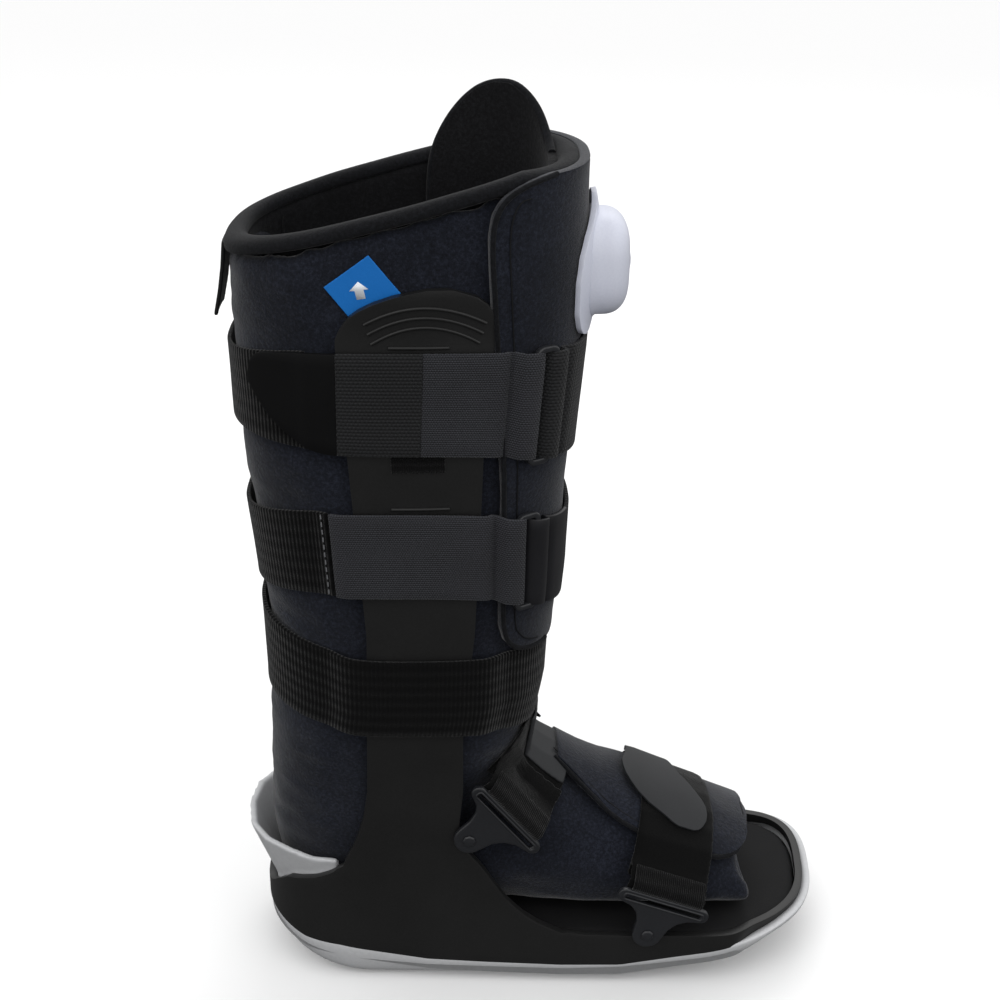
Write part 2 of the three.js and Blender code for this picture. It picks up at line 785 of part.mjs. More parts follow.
// A strap round the leg between two turns, lifted by what lies under it.
function legStrap(strap, from, to, stops = [], extra = () => 0, narrow = () => 0) {
  const rows = 3;
  const closed = to - from > 6.28;
  const stations = strapTurns(from, to, (strap.top + strap.bottom) / 2, stops);
  return sheet(stations.length, rows, (c, r, face) => {
    const turn = stations[c];
    const share = mix(narrow(turn), 1 - narrow(turn), r / (rows - 1));
    const z = strapHeight(strap, turn, share);
    const middle = strapHeight(strap, turn, 0.5);
    return legPoint(turn, z, strapLift(turn, middle) + extra(turn) + face * strapThickness);
  }, closed);
}

// Turn reached by walking round the leg's surface by a distance.
function walk(turn, z, out, distance) {
  const step = Math.sign(distance) * 0.002;
  let walked = 0;
  let here = turn;
  while (walked < Math.abs(distance)) {
    walked += legPoint(here, z, out).distanceTo(legPoint(here + step, z, out));
    here += step;
  }
  return here;
}

// The two bands of a leg strap and the ring between them. A lapped tail lies on the band at the back.
function ringedStrap(strap, stops, lapped) {
  const middle = (strap.top + strap.bottom) / 2;
  const half = uprightWidth / 2;
  const lift = flapThickness + gap + strapGap;
  const ringTurn = turnAt(stops.ring * half, middle, lift, near);
  const clear = ringWidth / 2 + 2 * gap;
  const frontEnd = walk(ringTurn, middle, lift, clear);
  const tailEnd = walk(ringTurn, middle, lift, -clear);
  const tip = turnAt(stops.tip * half, middle, 0, near);
  const under = turnAt(stops.under * half, middle, 0, near);
  const lap = lapped ? strapThickness + gap : 0;
  const onBack = (turn) => lap * (1 - smooth(turn, under, under + 0.1));
  const rounded = (turn) => (lapped ? 0.3 * (1 - smooth(turn, tip - 0.01, tip + 0.16)) : 0);
  return {
    band: legStrap(strap, frontEnd, under + 2 * Math.PI),
    tail: legStrap(strap, tip, tailEnd, lapped ? [under, under + 0.1] : [], onBack, rounded),
    ring: makeRing(strap, ringTurn, lift + gap),
  };
}

// A flat rectangular ring that lies in the strap's own layer.
function makeRing(strap, turn, lift) {
  const low = strapHeight(strap, turn, 0);
  const high = strapHeight(strap, turn, 1);
  const height = high - low + 2 * ringWire;
  const half = ringWidth / 2;
  const corner = ringWire + 1;
  const outline = new THREE.Shape();
  outline.moveTo(-half, -height / 2 + corner);
  outline.absarc(-half + corner, -height / 2 + corner, corner, Math.PI, 1.5 * Math.PI);
  outline.absarc(half - corner, -height / 2 + corner, corner, 1.5 * Math.PI, 2 * Math.PI);
  outline.absarc(half - corner, height / 2 - corner, corner, 0, 0.5 * Math.PI);
  outline.absarc(-half + corner, height / 2 - corner, corner, 0.5 * Math.PI, Math.PI);
  const slot = new THREE.Path();
  const inner = half - ringWire;
  const innerHeight = height / 2 - ringWire;
  slot.moveTo(-inner, -innerHeight);
  slot.lineTo(-inner, innerHeight);
  slot.lineTo(inner, innerHeight);
  slot.lineTo(inner, -innerHeight);
  outline.holes.push(slot);
  const frame = new THREE.ExtrudeGeometry(outline, { depth: ringWire, bevelEnabled: false, curveSegments: 3 });
  const ahead = legPoint(turn + 0.05, (low + high) / 2, lift);
  const behind = legPoint(turn - 0.05, (low + high) / 2, lift);
  const top = legPoint(turn, high, lift);
  const bottom = legPoint(turn, low, lift);
  const place = legPoint(turn, (low + high) / 2, lift + 0.6);
  const upward = top.sub(bottom).normalize();
  const outward = new THREE.Vector3().crossVectors(ahead.sub(behind), upward).normalize();
  const along = new THREE.Vector3().crossVectors(upward, outward);
  frame.applyMatrix4(new THREE.Matrix4().makeBasis(along, upward, outward).setPosition(place));
  return frame;
}

// Region over the foot that a slanted foot strap covers: a box along its width, open upwards.
function footStrapRegion(strap, grow = 0) {
  const size = 160;
  const angle = radians(-strap.slant);
  const across = [Math.cos(angle), -Math.sin(angle)];
  const upward = [Math.sin(angle), Math.cos(angle)];
  const raise = size / 2 + 5;
  const middle = [strap.x + upward[0] * raise, 0, strap.z + upward[1] * raise];
  return cutter([footStrapWidth + 2 * grow, size, size + 2 * grow], middle, Math.atan2(-across[1], across[0]));
}

// Point beside the foot: u along a foot strap's slot, v up from it, w out from the boot's middle plane.
function besideFoot(strap, side, u, v, w) {
  const angle = radians(strap.slant);
  const x = strap.x + u * Math.cos(angle) - v * Math.sin(angle);
  const z = strap.z + u * Math.sin(angle) + v * Math.cos(angle);
  return new THREE.Vector3(x, side * w, z);
}

// Inner face of a foot strap's bracket.
function bracketFace(strap) {
  const pivot = besideFoot(strap, far, strap.pivotU, strap.pivotV, 0);
  const reach = footStrapWidth / 2;
  const beside = [-reach / 2, 0, reach].map((x) => uprightInner(pivot.x + x, pivot.z));
  const above = [0.4, 0.8].map((t) => uprightInner(pivot.x, pivot.z - t * strap.pivotV));
  return Math.max(...beside, ...above) + shellWall + gap;
}

// A foot strap hugs the boot over the instep, and each end leans out to its bracket's slot.
function makeFootStrap(strap) {
  const span = uprightHeight;
  const frontReach = footStrapWidth / 2;
  const foot = legAndFoot(strap.lift + strapThickness, linerBottom, footEnd, footStart);
  const inner = legAndFoot(strap.lift, linerBottom, footEnd, footStart);
  const front = cutter([span, span, span], [strap.x - frontReach + span / 2, 0, span / 2]);
  const under = cutter([span, span, span], [0, 0, lowStrap.frontBottom - 1 + span / 2]);
  let band = foot.intersect(footStrapRegion(strap)).intersect(front);
  const face = bracketFace(strap) - gap - strapThickness;
  const rows = [
    { v: 24, w: face - 26 },
    { v: 7, w: face },
    { v: -1.5, w: face },
  ];
  for (const side of [near, far]) {
    const end = sheet(2, rows.length, (c, r, outer) => {
      const u = (c - 0.5) * footStrapWidth;
      return besideFoot(strap, side, u, rows[r].v, rows[r].w + outer * strapThickness);
    });
    band = band.add(toSolid(end));
  }
  return band.subtract(inner).subtract(under);
}

// The smooth tab that closes a foot strap: its near edge slants from one side of the strap to the other.
function makeFootTab(strap) {
  const lift = strap.lift + strapThickness + gap;
  const outer = legAndFoot(lift + tabThickness, linerBottom, footEnd, footStart);
  const inner = legAndFoot(lift, linerBottom, footEnd, footStart);
  const plan = new THREE.Shape();
  const edge = footWidth / 2;
  const reach = footStrapWidth * 1.2;
  plan.moveTo(strap.x - reach / 2, edge * 0.5);
  plan.lineTo(strap.x - reach / 2, -edge * strap.tabRear);
  plan.lineTo(strap.x + reach * 0.55, -edge * strap.tabFront);
  plan.lineTo(strap.x + reach, -edge * strap.tabFront);
  plan.lineTo(strap.x + reach, edge * 0.5);
  const prism = new THREE.ExtrudeGeometry(plan, { depth: 2 * instepHeight, bevelEnabled: false });
  const under = cutter([400, 400, 400], [0, 0, lowStrap.frontBottom - 1 + 200]);
  const region = footStrapRegion(strap, -1.5).intersect(toSolid(prism));
  return outer.subtract(inner).intersect(region).subtract(under);
}

// A slotted plate: a long slot above and a rounded foot with a pin's hole below.
function makeBracket(strap, side) {
  const half = footStrapWidth / 2 - 0.5;
  const bar = 4;
  const foot = 8;
  const { pivotU, pivotV } = strap;
  const shape = new THREE.Shape();
  shape.moveTo(-half, -bar);
  shape.quadraticCurveTo(pivotU - foot, -bar - 1, pivotU - foot, pivotV);
  shape.absarc(pivotU, pivotV, foot, Math.PI, 2 * Math.PI);
  shape.quadraticCurveTo(pivotU + foot + 1, -bar - 2, half, -bar);
  shape.absarc(half, 0, bar, -0.5 * Math.PI, 0.5 * Math.PI);
  shape.absarc(-half, 0, bar, 0.5 * Math.PI, 1.5 * Math.PI);
  const slot = new THREE.Path();
  const slotHalf = half - 0.5;
  slot.moveTo(-slotHalf, -1.8);
  slot.lineTo(-slotHalf, 1.8);
  slot.lineTo(slotHalf, 1.8);
  slot.lineTo(slotHalf, -1.8);
  shape.holes.push(slot);
  const hole = new THREE.Path();
  hole.absarc(pivotU, pivotV, pinRadius / 2 + gap, 0, 2 * Math.PI, true);
  shape.holes.push(hole);
  const plate = new THREE.ExtrudeGeometry(shape, {
    depth: bracketThickness,
    bevelEnabled: false,
    curveSegments: 4,
  });
  return onSide(plate, strap, side, bracketFace(strap));
}

// The pin holds the bracket against the shell: a shaft in the hole and a low round head.
function makePin(strap, side) {
  const shaft = pinRadius / 2;
  const reach = bracketThickness + gap;
  const profile = [
    [0, -gap / 2],
    [shaft, -gap / 2],
    [shaft, reach],
    [pinRadius, reach],
    [pinRadius * 0.8, reach + 0.9],
    [0, reach + 1.2],
  ];
  const pin = new THREE.LatheGeometry(profile.map(([r, h]) => new THREE.Vector2(r, h)), 8);
  pin.rotateX(Math.PI / 2);
  pin.translate(strap.pivotU, strap.pivotV, 0);
  return onSide(pin, strap, side, bracketFace(strap));
}

// Lays a shape that is drawn along u and v, with its thickness outwards, on a side of the shell.
function onSide(geometry, strap, side, face) {
  const angle = radians(strap.slant);
  const u = new THREE.Vector3(Math.cos(angle), 0, Math.sin(angle));
  const v = new THREE.Vector3(-Math.sin(angle), 0, Math.cos(angle));
  const w = new THREE.Vector3().crossVectors(u, v);
  geometry.applyMatrix4(new THREE.Matrix4().makeBasis(u, v, w).setPosition(strap.x, -face, strap.z));
  if (side === near) return geometry;
  const solid = toSolid(geometry).mirror([0, 1, 0]);
  return toGeometry(solid);
}

// X of the leg's surface at a place across, in front or at the back.
function legFace(y, z, out, end) {
  const front = legPoint(0, z, out).x;
  const back = legPoint(Math.PI, z, out).x;
  const half = legPoint(Math.PI / 2, z, out).y;
  const share = Math.min(1, Math.abs(y / half));
  const reach = ((front - back) / 2) * (1 - share ** legSquareness) ** (1 / legSquareness);
  return (front + back) / 2 + end * reach;
}

const pumpLift = gap + flapThickness + strapGap;

// The pump's flange, pointed at its top and bottom, on the front flap.
function makePumpPlate() {
  const columns = 7;
  const rows = 7;
  return sheet(columns, rows, (c, r, face) => {
    const s = (2 * r) / (rows - 1) - 1;
    const z = pumpBottom + ((s + 1) / 2) * pumpHeight;
    const half = (pumpWidth / 2) * (0.12 + 0.88 * (1 - Math.abs(s) ** 2.6) ** 0.7);
    const y = pumpMiddle + half * ((2 * c) / (columns - 1) - 1);
    return new THREE.Vector3(legFace(y, z, pumpLift + face * pumpPlate, 1), y, z);
  });
}

// The pump's bulb: a rounded button that rises from the flange.
function makePumpBulb() {
  const sides = 20;
  const lift = pumpLift + pumpPlate + 2 * gap;
  const crown = legFace(pumpMiddle, bulbMiddle, lift, 1);
  const profile = [
    { scale: 1, rise: 0 },
    { scale: 0.985, rise: 0.35 },
    { scale: 0.93, rise: 0.64 },
    { scale: 0.8, rise: 0.86 },
    { scale: 0.58, rise: 0.96 },
    { scale: 0.3, rise: 1 },
  ];
  return loft(
    profile.map(({ scale, rise }) =>
      Array.from({ length: sides }, (_, i) => {
        const angle = (2 * Math.PI * i) / sides;
        const y = pumpMiddle + (bulbWidth / 2) * scale * signedPower(Math.cos(angle), 0.75);
        const z = bulbMiddle + (bulbHeight / 2) * scale * signedPower(Math.sin(angle), 0.75);
        const x = mix(legFace(y, z, lift, 1), crown, Math.min(1, rise * 2)) + rise * bulbDepth;
        return new THREE.Vector3(x, y, z);
      }),
    ),
  );
}

// The tag on the near side, its lower end behind the upright's top.
function makeTag() {
  const columns = 6;
  const rows = 5;
  return sheet(columns, rows, (c, r, face) => {
    const s = c / (columns - 1);
    const t = r / (rows - 1);
    const x = tag.x + s * tag.acrossX + t * tag.downX;
    const z = tag.z + s * tag.acrossZ + t * tag.downZ;
    return new THREE.Vector3(x, -legHalf(x, z, gap + face * tagThickness), z);
  });
}

// The pull tab hangs from the rim at the back and stands away from it at its lower end.
function makeBackTab() {
  const columns = 5;
  const rows = 4;
  return sheet(columns, rows, (c, r, face) => {
    const y = backTabWidth * (c / (columns - 1) - 0.5);
    const t = r / (rows - 1);
    const z = rimPlane(heelBack) - 4 - t * backTabLength;
    return new THREE.Vector3(legFace(y, z, gap + 6 * t ** 1.5 + face * strapThickness, -1), y, z);
  });
}

const root = new THREE.Group();

function add(name, shape, finish) {
  const geometry = shape.isBufferGeometry ? shape : toGeometry(shape);
  const [color, roughness] = colours[finish];
  const material = new THREE.MeshStandardMaterial({ color, roughness, metalness: 0, flatShading: true });
  const mesh = new THREE.Mesh(geometry, material);
  mesh.name = name;
  root.add(mesh);
}

add("outsole", makeOutsole(), "paleRubber");
add("shell", makeShell(), "moulding");
add("heel_collar", makeCollar(), "paleRubber");
add("insole", makeInsole(), "footBed");
add("liner", makeLiner(), "fleece");
add("liner_trim", makeTrim(), "binding");
add("inner_flap", makeInnerFlap(), "lining");
add("outer_flap", makeOuterFlap(), "fleece");
add("foot_flap", makeFootFlap(), "fleece");

add("pump_plate", makePumpPlate(), "palePlastic");
add("pump_bulb", makePumpBulb(), "palePlastic");
add("pull_tag", makeTag(), "tag");
add("back_tab", makeBackTab(), "webbing");

const topParts = ringedStrap(topStrap, topStops, true);
add("strap_top_band", topParts.band, "webbing");
add("strap_top_tail", topParts.tail, "webbing");
add("strap_top_ring", topParts.ring, "hardware");
const midParts = ringedStrap(midStrap, midStops, false);
add("strap_mid_band", midParts.band, "webbing");
add("strap_mid_tail", midParts.tail, "webbing");
add("strap_mid_ring", midParts.ring, "hardware");
add("strap_low", legStrap(lowStrap, -Math.PI, Math.PI), "loopPile");

for (const [name, strap] of Object.entries({ ankle, fore })) {
  add(name + "_strap", makeFootStrap(strap), "webbing");
  add(name + "_tab", makeFootTab(strap), "smoothTab");
  for (const [place, side] of Object.entries({ near, far })) {
    add(name + "_bracket_" + place, makeBracket(strap, side), "hardware");
    add(name + "_pin_" + place, makePin(strap, side), "hardware");
  }
}

export default root;
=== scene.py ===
import bpy
import bmesh
import math
from mathutils import Matrix, Vector, noise
from mathutils.bvhtree import BVHTree


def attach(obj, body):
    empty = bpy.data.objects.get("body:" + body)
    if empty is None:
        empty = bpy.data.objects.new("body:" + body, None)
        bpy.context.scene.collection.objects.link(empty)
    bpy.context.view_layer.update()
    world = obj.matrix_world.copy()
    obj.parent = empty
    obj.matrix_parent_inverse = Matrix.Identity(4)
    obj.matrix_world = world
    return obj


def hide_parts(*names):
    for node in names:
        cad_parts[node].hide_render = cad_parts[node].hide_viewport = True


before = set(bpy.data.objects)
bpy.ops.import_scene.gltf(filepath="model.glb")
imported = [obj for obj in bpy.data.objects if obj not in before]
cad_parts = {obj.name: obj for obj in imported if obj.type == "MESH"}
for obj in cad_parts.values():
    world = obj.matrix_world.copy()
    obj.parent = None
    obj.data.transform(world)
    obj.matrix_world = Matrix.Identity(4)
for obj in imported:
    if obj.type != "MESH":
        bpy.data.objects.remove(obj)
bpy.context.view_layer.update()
scene = bpy.context.scene

mm = 0.001
nearSide = -1
farSide = 1


# camera, floor and light

cameraSettings = {
    "place": (17.128, -752.536, 601.336),  # mm
    "yaw": 0.030074,  # all three in radians
    "pitch": 0.425778,
    "roll": 0.011836,
    "lens": 58.913,  # mm on a 36 mm sensor
}

stageSettings = {
    "sky": 1.0,
    "below": 0.12,  # share of the sky's light that comes from under the horizon
    "horizon": (-0.25, 0.15),  # where the sky's light starts and ends its rise
    "floorSize": 6,
    "floorTone": 0.97,
    "floorRoughness": 0.9,
    "aim": (0.05, 0, 0.2),
    "lights": {  # size, power, place in metres
        "keyLight": (1.2, 7, (-0.9, -1.3, 1.9)),
        "fillLight": (1.6, 5, (1.5, -1.2, 1.1)),
        "rimLight": (1.2, 7, (0.3, 1.3, 1.6)),
    },
}


def meshFrom(bm, name):
    mesh = bpy.data.meshes.new(name)
    bm.to_mesh(mesh)
    bm.free()
    return mesh


def makeCamera():
    s = cameraSettings
    yaw, pitch, roll = s["yaw"], s["pitch"], s["roll"]
    ahead = Vector((math.sin(yaw) * math.cos(pitch), math.cos(yaw) * math.cos(pitch), -math.sin(pitch)))
    right = Vector((math.cos(yaw), -math.sin(yaw), 0))
    up = right.cross(ahead)
    rolledRight = right * math.cos(roll) + up * math.sin(roll)
    rolledUp = up * math.cos(roll) - right * math.sin(roll)
    turn = Matrix((rolledRight, rolledUp, -ahead)).transposed().to_4x4()
    data = bpy.data.cameras.new("photoCamera")
    data.sensor_width = 36
    data.lens = s["lens"]
    data.clip_end = 20
    camera = bpy.data.objects.new("photoCamera", data)
    camera.matrix_world = Matrix.Translation(Vector(s["place"]) * mm) @ turn
    scene.collection.objects.link(camera)
    scene.camera = camera


def areaLight(name, size, power, place):
    data = bpy.data.lights.new(name, "AREA")
    data.size = size
    data.energy = power
    light = bpy.data.objects.new(name, data)
    light.location = place
    aim = Vector(stageSettings["aim"]) - Vector(place)
    light.rotation_euler = aim.to_track_quat("-Z", "Y").to_euler()
    scene.collection.objects.link(light)


def makeStage():
    s = stageSettings
    world = bpy.data.worlds.new("studio")
    world.use_nodes = True
    nodes, links = world.node_tree.nodes, world.node_tree.links
    back = nodes["Background"]
    back.inputs["Strength"].default_value = s["sky"]
    direction = nodes.new("ShaderNodeTexCoord")
    split = nodes.new("ShaderNodeSeparateXYZ")
    level = nodes.new("ShaderNodeMapRange")
    level.inputs["From Min"].default_value, level.inputs["From Max"].default_value = s["horizon"]
    level.inputs["To Min"].default_value = s["below"]
    links.new(direction.outputs["Generated"], split.inputs[0])
    links.new(split.outputs["Z"], level.inputs["Value"])
    links.new(level.outputs["Result"], back.inputs["Color"])
    scene.world = world
    for name, (size, power, place) in s["lights"].items():
        areaLight(name, size, power, place)
    bm = bmesh.new()
    bmesh.ops.create_grid(bm, x_segments=1, y_segments=1, size=s["floorSize"])
    floor = bpy.data.objects.new("floor", meshFrom(bm, "floor"))
    scene.collection.objects.link(floor)
    paint = bpy.data.materials.new("paleFloor")
    paint.use_nodes = True
    shader = paint.node_tree.nodes["Principled BSDF"]
    shader.inputs["Base Color"].default_value = (s["floorTone"],) * 3 + (1,)
    shader.inputs["Roughness"].default_value = s["floorRoughness"]
    floor.data.materials.append(paint)
    floor.visible_diffuse = False
    floor.visible_glossy = False


makeCamera()
makeStage()
scene.view_settings.view_transform = "Standard"
print("camera and studio ready")


# materials

def linear(rgb):
    # a colour given as screen values from 0 to 255
    return tuple((c / 255 / 12.92) if c < 11 else (((c / 255) + 0.055) / 1.055) ** 2.4 for c in rgb) + (1,)


class Paint:
    # a small helper that adds nodes to one material

    def __init__(self, name, roughness, sheen=0, specular=0.5):
        self.material = bpy.data.materials.new(name)
        self.material.use_nodes = True
        self.tree = self.material.node_tree
        self.shader = self.tree.nodes["Principled BSDF"]
        self.shader.inputs["Roughness"].default_value = roughness
        self.shader.inputs["Sheen Weight"].default_value = sheen
        self.shader.inputs["Sheen Roughness"].default_value = 0.4
        self.shader.inputs["Specular IOR Level"].default_value = specular
        self.coords = self.node("ShaderNodeTexCoord")

    def node(self, kind, **values):
        made = self.tree.nodes.new(kind)
        for key, value in values.items():
            if hasattr(made, key):
                setattr(made, key, value)
            else:
                made.inputs[key].default_value = value
        return made

    def link(self, a, b):
        self.tree.links.new(a, b)

    def math(self, operation, a, b=None):
        made = self.node("ShaderNodeMath", operation=operation)
        for socket, value in zip(made.inputs, (a, b)):
            if value is None:
                continue
            if isinstance(value, (int, float)):
                socket.default_value = value
            else:
                self.link(value, socket)
        return made.outputs[0]

    def blend(self, a, b, share):
        # a's share, and the rest of b
        return self.math("ADD", self.math("MULTIPLY", a, share), self.math("MULTIPLY", b, 1 - share))

    def noise(self, scale, detail=3, roughness=0.55):
        made = self.node("ShaderNodeTexNoise", Scale=scale, Detail=detail, Roughness=roughness)
        self.link(self.coords.outputs["Object"], made.inputs["Vector"])
        return made.outputs["Fac"]

    def ramp(self, factor, stops):
        made = self.node("ShaderNodeValToRGB")
        elements = made.color_ramp.elements
        while len(elements) < len(stops):
            elements.new(0.5)
        for element, (place, rgb) in zip(elements, stops):
            element.position = place
            element.color = linear(rgb)
        self.link(factor, made.inputs["Fac"])
        return made.outputs["Color"]

    def waves(self, pitchU, pitchV, stagger=0.5):
        # a woven grid on the UV map: over and under threads, the map being in metres
        turn = 2 * math.pi
        split = self.node("ShaderNodeSeparateXYZ")
        self.link(self.coords.outputs["UV"], split.inputs[0])
        u = self.math("MULTIPLY", split.outputs[0], turn / pitchU)
        v = self.math("MULTIPLY", split.outputs[1], turn / pitchV)
        row = self.math("FLOOR", self.math("DIVIDE", v, turn))
        shifted = self.math("ADD", u, self.math("MULTIPLY", row, turn * stagger))
        across = self.math("MULTIPLY", self.math("SINE", shifted), 0.25)
        along = self.math("MULTIPLY", self.math("COSINE", v), 0.25)
        return self.math("ADD", across, self.math("SUBTRACT", 0.5, along))

    def bump(self, height, strength, distance, under=None):
        made = self.node("ShaderNodeBump", Strength=strength, Distance=distance)
        self.link(height, made.inputs["Height"])
        if under:
            self.link(under, made.inputs["Normal"])
        return made.outputs["Normal"]

    def finish(self, color, normal):
        self.link(color, self.shader.inputs["Base Color"])
        self.link(normal, self.shader.inputs["Normal"])
        return self.material


def fleecePaint(name, dark, middle, light, sheen=0.25):
    # napped fabric: fine fibres, small tufts and slow changes of tone
    p = Paint(name, 0.95, sheen=sheen, specular=0.2)
    tufts = p.noise(620, 4, 0.7)
    fibres = p.noise(2400, 2, 0.8)
    slow = p.noise(18, 2)
    both = p.blend(p.blend(tufts, fibres, 0.6), slow, 0.8)
    color = p.ramp(both, ((0.36, dark), (0.5, middle), (0.66, light)))
    normal = p.bump(fibres, 0.35, 0.0004)
    normal = p.bump(tufts, 0.5, 0.0008, normal)
    return p.finish(color, normal)


def webbingPaint(name, pitchU, pitchV, dark, light):
    # threads over and under on the strap's own map
    p = Paint(name, 0.75, sheen=0.1, specular=0.35)
    weave = p.waves(pitchU, pitchV)
    fuzz = p.noise(1800, 2, 0.7)
    slow = p.noise(24, 2)
    drift = p.math("MULTIPLY", p.math("SUBTRACT", slow, 0.5), 0.25)
    level = p.math("ADD", p.blend(weave, fuzz, 0.7), drift)
    color = p.ramp(level, ((0.25, dark), (0.8, light)))
    normal = p.bump(fuzz, 0.25, 0.0003)
    normal = p.bump(weave, 0.7, 0.0006, normal)
    return p.finish(color, normal)


def pilePaint(name, pitch, dark, light):
    # soft loops in rows across the strap
    p = Paint(name, 0.95, sheen=0.15, specular=0.15)
    rows = p.waves(pitch, pitch * 3.1, 0.0)
    loops = p.noise(1500, 3, 0.75)
    color = p.ramp(p.blend(rows, loops, 0.45), ((0.3, dark), (0.75, light)))
    normal = p.bump(loops, 0.6, 0.0006)
    normal = p.bump(rows, 0.7, 0.0008, normal)
    return p.finish(color, normal)


def mouldedPaint(name, dark, light, roughness, grain=900, depth=0.00012, specular=0.5):
    # moulded plastic or rubber: a fine even grain and faint cloudiness
    p = Paint(name, roughness, specular=specular)
    fine = p.noise(grain, 2, 0.6)
    color = p.ramp(p.blend(p.noise(14, 3), fine, 0.65), ((0.35, dark), (0.65, light)))
    normal = p.bump(fine, 0.35, depth)
    return p.finish(color, normal)


paints = {
    "fleece": fleecePaint("navyFleece", (4, 6, 12), (19, 22, 31), (42, 46, 58)),
    "lining": fleecePaint("softLining", (3, 3, 4), (15, 15, 17), (31, 32, 34), sheen=0.08),
    "binding": fleecePaint("edgeBinding", (4, 4, 6), (14, 15, 18), (29, 30, 34), sheen=0.06),
    "moulding": mouldedPaint("blackMoulding", (21, 21, 21), (30, 30, 30), 0.4, specular=0.34),
    "paleRubber": mouldedPaint("paleSoleRubber", (184, 185, 187), (198, 199, 201), 0.6, 500, specular=0.3),
    "palePlastic": mouldedPaint(
        "palePumpPlastic", (206, 209, 224), (216, 219, 232), 0.38, depth=0.00004, specular=0.4),
    "footBed": mouldedPaint("darkFootBed", (14, 14, 15), (24, 24, 25), 0.8, 1300, 0.0003, specular=0.2),
    "fineWebbing": webbingPaint("fineWebbing", 0.0012, 0.0011, (12, 12, 14), (54, 55, 61)),
    "coarseWebbing": webbingPaint("coarseWebbing", 0.0019, 0.0017, (2, 2, 3), (28, 29, 31)),
    "satinWebbing": mouldedPaint("satinWebbing", (20, 20, 23), (30, 30, 33), 0.4, grain=1500, specular=0.3),
    "ribbedPile": pilePaint("ribbedPile", 0.0021, (0, 0, 0), (5, 5, 6)),
    "softPile": pilePaint("softPile", 0.0011, (1, 1, 1), (9, 9, 10)),
    "smoothTab": mouldedPaint("smoothGreyTab", (34, 35, 37), (46, 47, 49), 0.6, grain=1500, specular=0.25),
    "darkTab": mouldedPaint("smoothDarkTab", (3, 3, 4), (9, 9, 10), 0.6, grain=1500, specular=0.15),
    "hardware": mouldedPaint("satinHardware", (27, 28, 31), (37, 38, 41), 0.36, specular=0.45),
    "tag": mouldedPaint("blueTag", (10, 104, 184), (16, 112, 194), 0.6, 1800, 0.0001, specular=0.3),
    "arrow": mouldedPaint("whiteArrow", (235, 240, 246), (240, 244, 250), 0.6, 1800, 0.0001),
    "thread": mouldedPaint("darkThread", (9, 9, 11), (20, 21, 24), 0.7, grain=2500, specular=0.2),
    "paleThread": mouldedPaint("paleThread", (96, 97, 100), (124, 125, 128), 0.7, grain=2500, specular=0.2),
}
print("materials ready:", len(paints))


# the boot's own form, in mm, as the part has it

bootForm = {
    "legDepth": 164,
    "legWidth": 120,
    "legSquareness": 2.6,
    "rimHeight": 424,
    "rimSlope": 0.27,
    "rimFront": 436.5,
    "flapThickness": 5,
    "uprightWidth": 74,
    "uprightHeight": 389.6,
    "uprightGap": 0.7,
    "shellWall": 4,
    "strapGap": 0.8,
    "strapThickness": 2,
    "gap": 0.3,
}

# share of the rim's height, back and front of the depth, half of the width
legSections = (
    (0.0785, -0.4, 0.24, 0.3),
    (0.092, -0.439, 0.268, 0.333),
    (0.11, -0.466, 0.28, 0.356),
    (0.145, -0.49, 0.287, 0.37),
    (0.186, -0.506, 0.293, 0.383),
    (0.24, -0.504, 0.305, 0.404),
    (0.33, -0.488, 0.342, 0.429),
    (0.4, -0.474, 0.374, 0.44),
    (0.479, -0.478, 0.381, 0.446),
    (0.55, -0.488, 0.396, 0.453),
    (0.66, -0.516, 0.405, 0.467),
    (0.719, -0.531, 0.418, 0.475),
    (0.825, -0.539, 0.442, 0.489),
    (0.915, -0.543, 0.451, 0.4975),
    (1.13, -0.538, 0.451, 0.5),
)


def lookUp(table, place, column):
    # straight between rows, as in the part
    if place <= table[0][0]:
        return table[0][column]
    for a, b in zip(table, table[1:]):
        if place <= b[0]:
            t = (place - a[0]) / (b[0] - a[0])
            return a[column] + t * (b[column] - a[column])
    return table[-1][column]


def signedPower(value, power):
    return math.copysign(abs(value) ** power, value)


def mix(a, b, t):
    return a + (b - a) * t


def smooth(value, low, high):
    t = min(1, max(0, (value - low) / (high - low)))
    return t * t * (3 - 2 * t)


def legPoint(turn, z, out):
    # turn 0 is the front, -90 degrees the near side
    f = bootForm
    up = z / f["rimHeight"]
    back = lookUp(legSections, up, 1) * f["legDepth"]
    front = lookUp(legSections, up, 2) * f["legDepth"]
    half = lookUp(legSections, up, 3) * f["legWidth"]
    power = 2 / f["legSquareness"]
    x = (front + back) / 2 + ((front - back) / 2 + out) * signedPower(math.cos(turn), power)
    return Vector((x, (half + out) * signedPower(math.sin(turn), power), z))


def legEnds(z, out):
    return legPoint(math.pi, z, out).x, legPoint(0, z, out).x


def legHalf(x, z, out):
    back, front = legEnds(z, out)
    share = min(1, abs((2 * x - front - back) / (front - back)))
    n = bootForm["legSquareness"]
    return legPoint(math.pi / 2, z, out).y * (1 - share ** n) ** (1 / n)


def turnAt(x, z, out, side):
    back, front = legEnds(z, out)
    share = min(1, max(-1, (2 * x - front - back) / (front - back)))
    return side * math.acos(signedPower(share, bootForm["legSquareness"] / 2))


def rimPlane(x):
    f = bootForm
    return min(f["rimHeight"] + f["rimSlope"] * x, f["rimFront"])


# making and finishing meshes

def addPiece(name, mesh, paint, node=None):
    piece = bpy.data.objects.new(name, mesh)
    scene.collection.objects.link(piece)
    mesh.shade_smooth()
    mesh.materials.append(paints[paint])
    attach(piece, "root")
    if node:
        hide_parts(node)
    return piece


